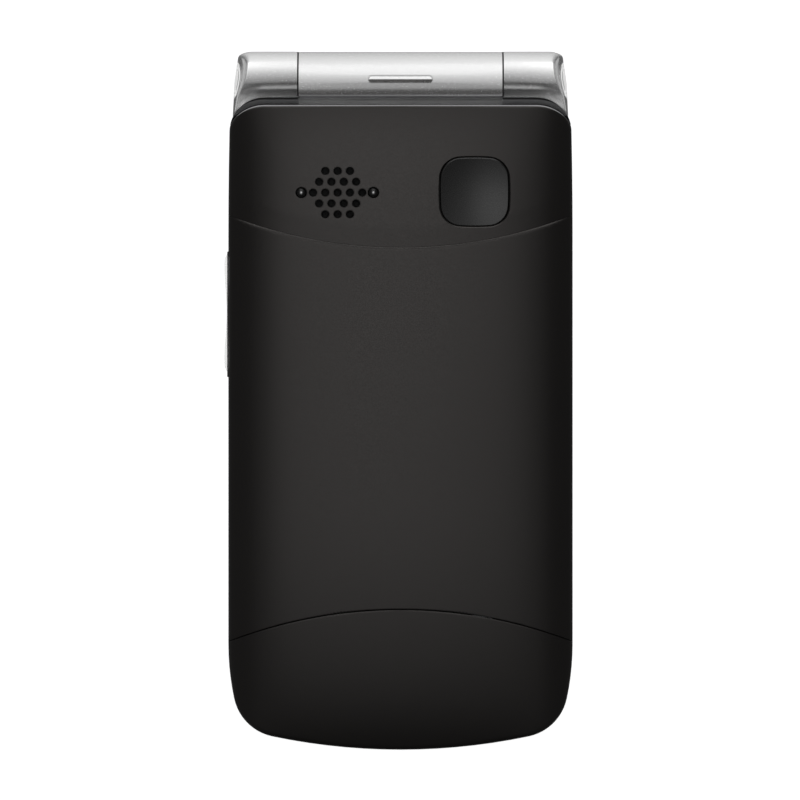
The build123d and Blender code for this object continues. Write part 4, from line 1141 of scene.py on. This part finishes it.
def studio_world():
    world = bpy.data.worlds.new("studio")
    world.use_nodes = True
    bpy.context.scene.world = world
    nt = world.node_tree
    bg = nt.nodes["Background"]
    tc = nt.nodes.new("ShaderNodeTexCoord")
    sep = nt.nodes.new("ShaderNodeSeparateXYZ")
    nt.links.new(tc.outputs["Generated"], sep.inputs[0])
    at = nt.nodes.new("ShaderNodeMath")
    at.operation = "ARCTAN2"
    nt.links.new(sep.outputs["Y"], at.inputs[0])
    nt.links.new(sep.outputs["Z"], at.inputs[1])
    t = remap(nt, at.outputs[0], 0.0, 1.0, -math.pi, math.pi)
    deg = [(-180, 0.12), (-112, 0.03), (-91, 0.03), (-71, 0.045), (-53, 0.075), (-36, 0.12), (-10, 0.2), (30, 0.34), (50, 0.8), (62, 1.12), (83, 1.0), (113, 0.8), (154, 0.55), (180, 0.12)]
    g = ramp(nt, t, [((d + 180) / 360, (v,) * 3) for d, v in deg])
    ab = nt.nodes.new("ShaderNodeMath")
    ab.operation = "ABSOLUTE"
    nt.links.new(sep.outputs["X"], ab.inputs[0])
    side = remap(nt, ab.outputs[0], 0.0, 1.0, 0.22, 0.62)
    mix = nt.nodes.new("ShaderNodeMix")
    mix.data_type = "RGBA"
    nt.links.new(side, mix.inputs["Factor"])
    nt.links.new(g, mix.inputs["A"])
    sg = remap(nt, sep.outputs["X"], 0.085, 0.07, -0.3, 0.3)
    nt.links.new(sg, mix.inputs["B"])
    lp = nt.nodes.new("ShaderNodeLightPath")
    cam = nt.nodes.new("ShaderNodeMix")
    cam.data_type = "RGBA"
    nt.links.new(lp.outputs["Is Camera Ray"], cam.inputs["Factor"])
    nt.links.new(mix.outputs["Result"], cam.inputs["A"])
    cam.inputs["B"].default_value = (1, 1, 1, 1)
    nt.links.new(cam.outputs["Result"], bg.inputs["Color"])
    bg.inputs["Strength"].default_value = 1.0


studio_world()


def fill(name, corners, level, receivers):
    """Soft panel that lights one set of pieces and lets the room show through."""
    me = bpy.data.meshes.new(name)
    me.from_pydata(corners, [], [(0, 1, 2, 3)])
    ob = bpy.data.objects.new(name, me)
    bpy.context.collection.objects.link(ob)
    m = bpy.data.materials.new(name)
    m.use_nodes = True
    nt = m.node_tree
    nt.nodes.clear()
    em = nt.nodes.new("ShaderNodeEmission")
    panel_shader(nt, em, True)
    sep = nt.nodes.new("ShaderNodeSeparateXYZ")
    nt.links.new(coords(nt), sep.inputs[0])
    nt.links.new(remap(nt, sep.outputs["Z"], level, level * 0.5, -0.25, 0.30), em.inputs["Strength"])
    me.materials.append(m)
    ob.visible_camera = False
    ob.visible_shadow = False
    ob.visible_transmission = False
    ob.light_linking.receiver_collection = receivers


TRIM = bpy.data.collections.new("trim_receivers")
for o in list(bpy.data.objects):
    if o.type == "MESH" and (o.name.startswith("end_cap") or o in (frame["nodes"]["volume_rocker"], frame["nodes"]["hinge_end_caps"])):
        TRIM.objects.link(o)
for tag, x, v in (("left", -0.45, 0.55), ("right", 0.45, 0.5)):
    fill("fill_" + tag, [(x, -0.45, -0.25), (x, 0.45, -0.25), (x, 0.45, 0.30), (x, -0.45, 0.30)], v, SILVER)
fill("fill_under", [(-0.6, -0.5, -0.12), (0.6, -0.5, -0.12), (0.6, 0.5, -0.12), (-0.6, 0.5, -0.12)], 0.75, TRIM)
ROCK = bpy.data.collections.new("rocker_receivers")
ROCK.objects.link(frame["nodes"]["volume_rocker"])
fill("fill_over", [(-0.5, -0.4, 0.29), (0.3, -0.4, 0.29), (0.3, 0.4, 0.29), (-0.5, 0.4, 0.29)], 1.0, ROCK)

PX = 6.583  # pixels per mm at the edge of the back
D = 1.0
cam = bpy.data.cameras.new("camera")
cam.sensor_width = 36.0
cam.lens = 36.0 * D / (800 / PX * MM)
cam.clip_start, cam.clip_end = 0.05, 20.0
cob = bpy.data.objects.new("camera", cam)
bpy.context.collection.objects.link(cob)
cob.location = ((400 - 400.5) / PX * MM, ((749.7 - 400) / PX - 53.1) * MM, D + Z_PART * MM)
cob.rotation_euler = (0, 0, 0)
bpy.context.scene.camera = cob
bpy.context.scene.view_settings.view_transform = "Standard"
bpy.context.scene.view_settings.look = "None"
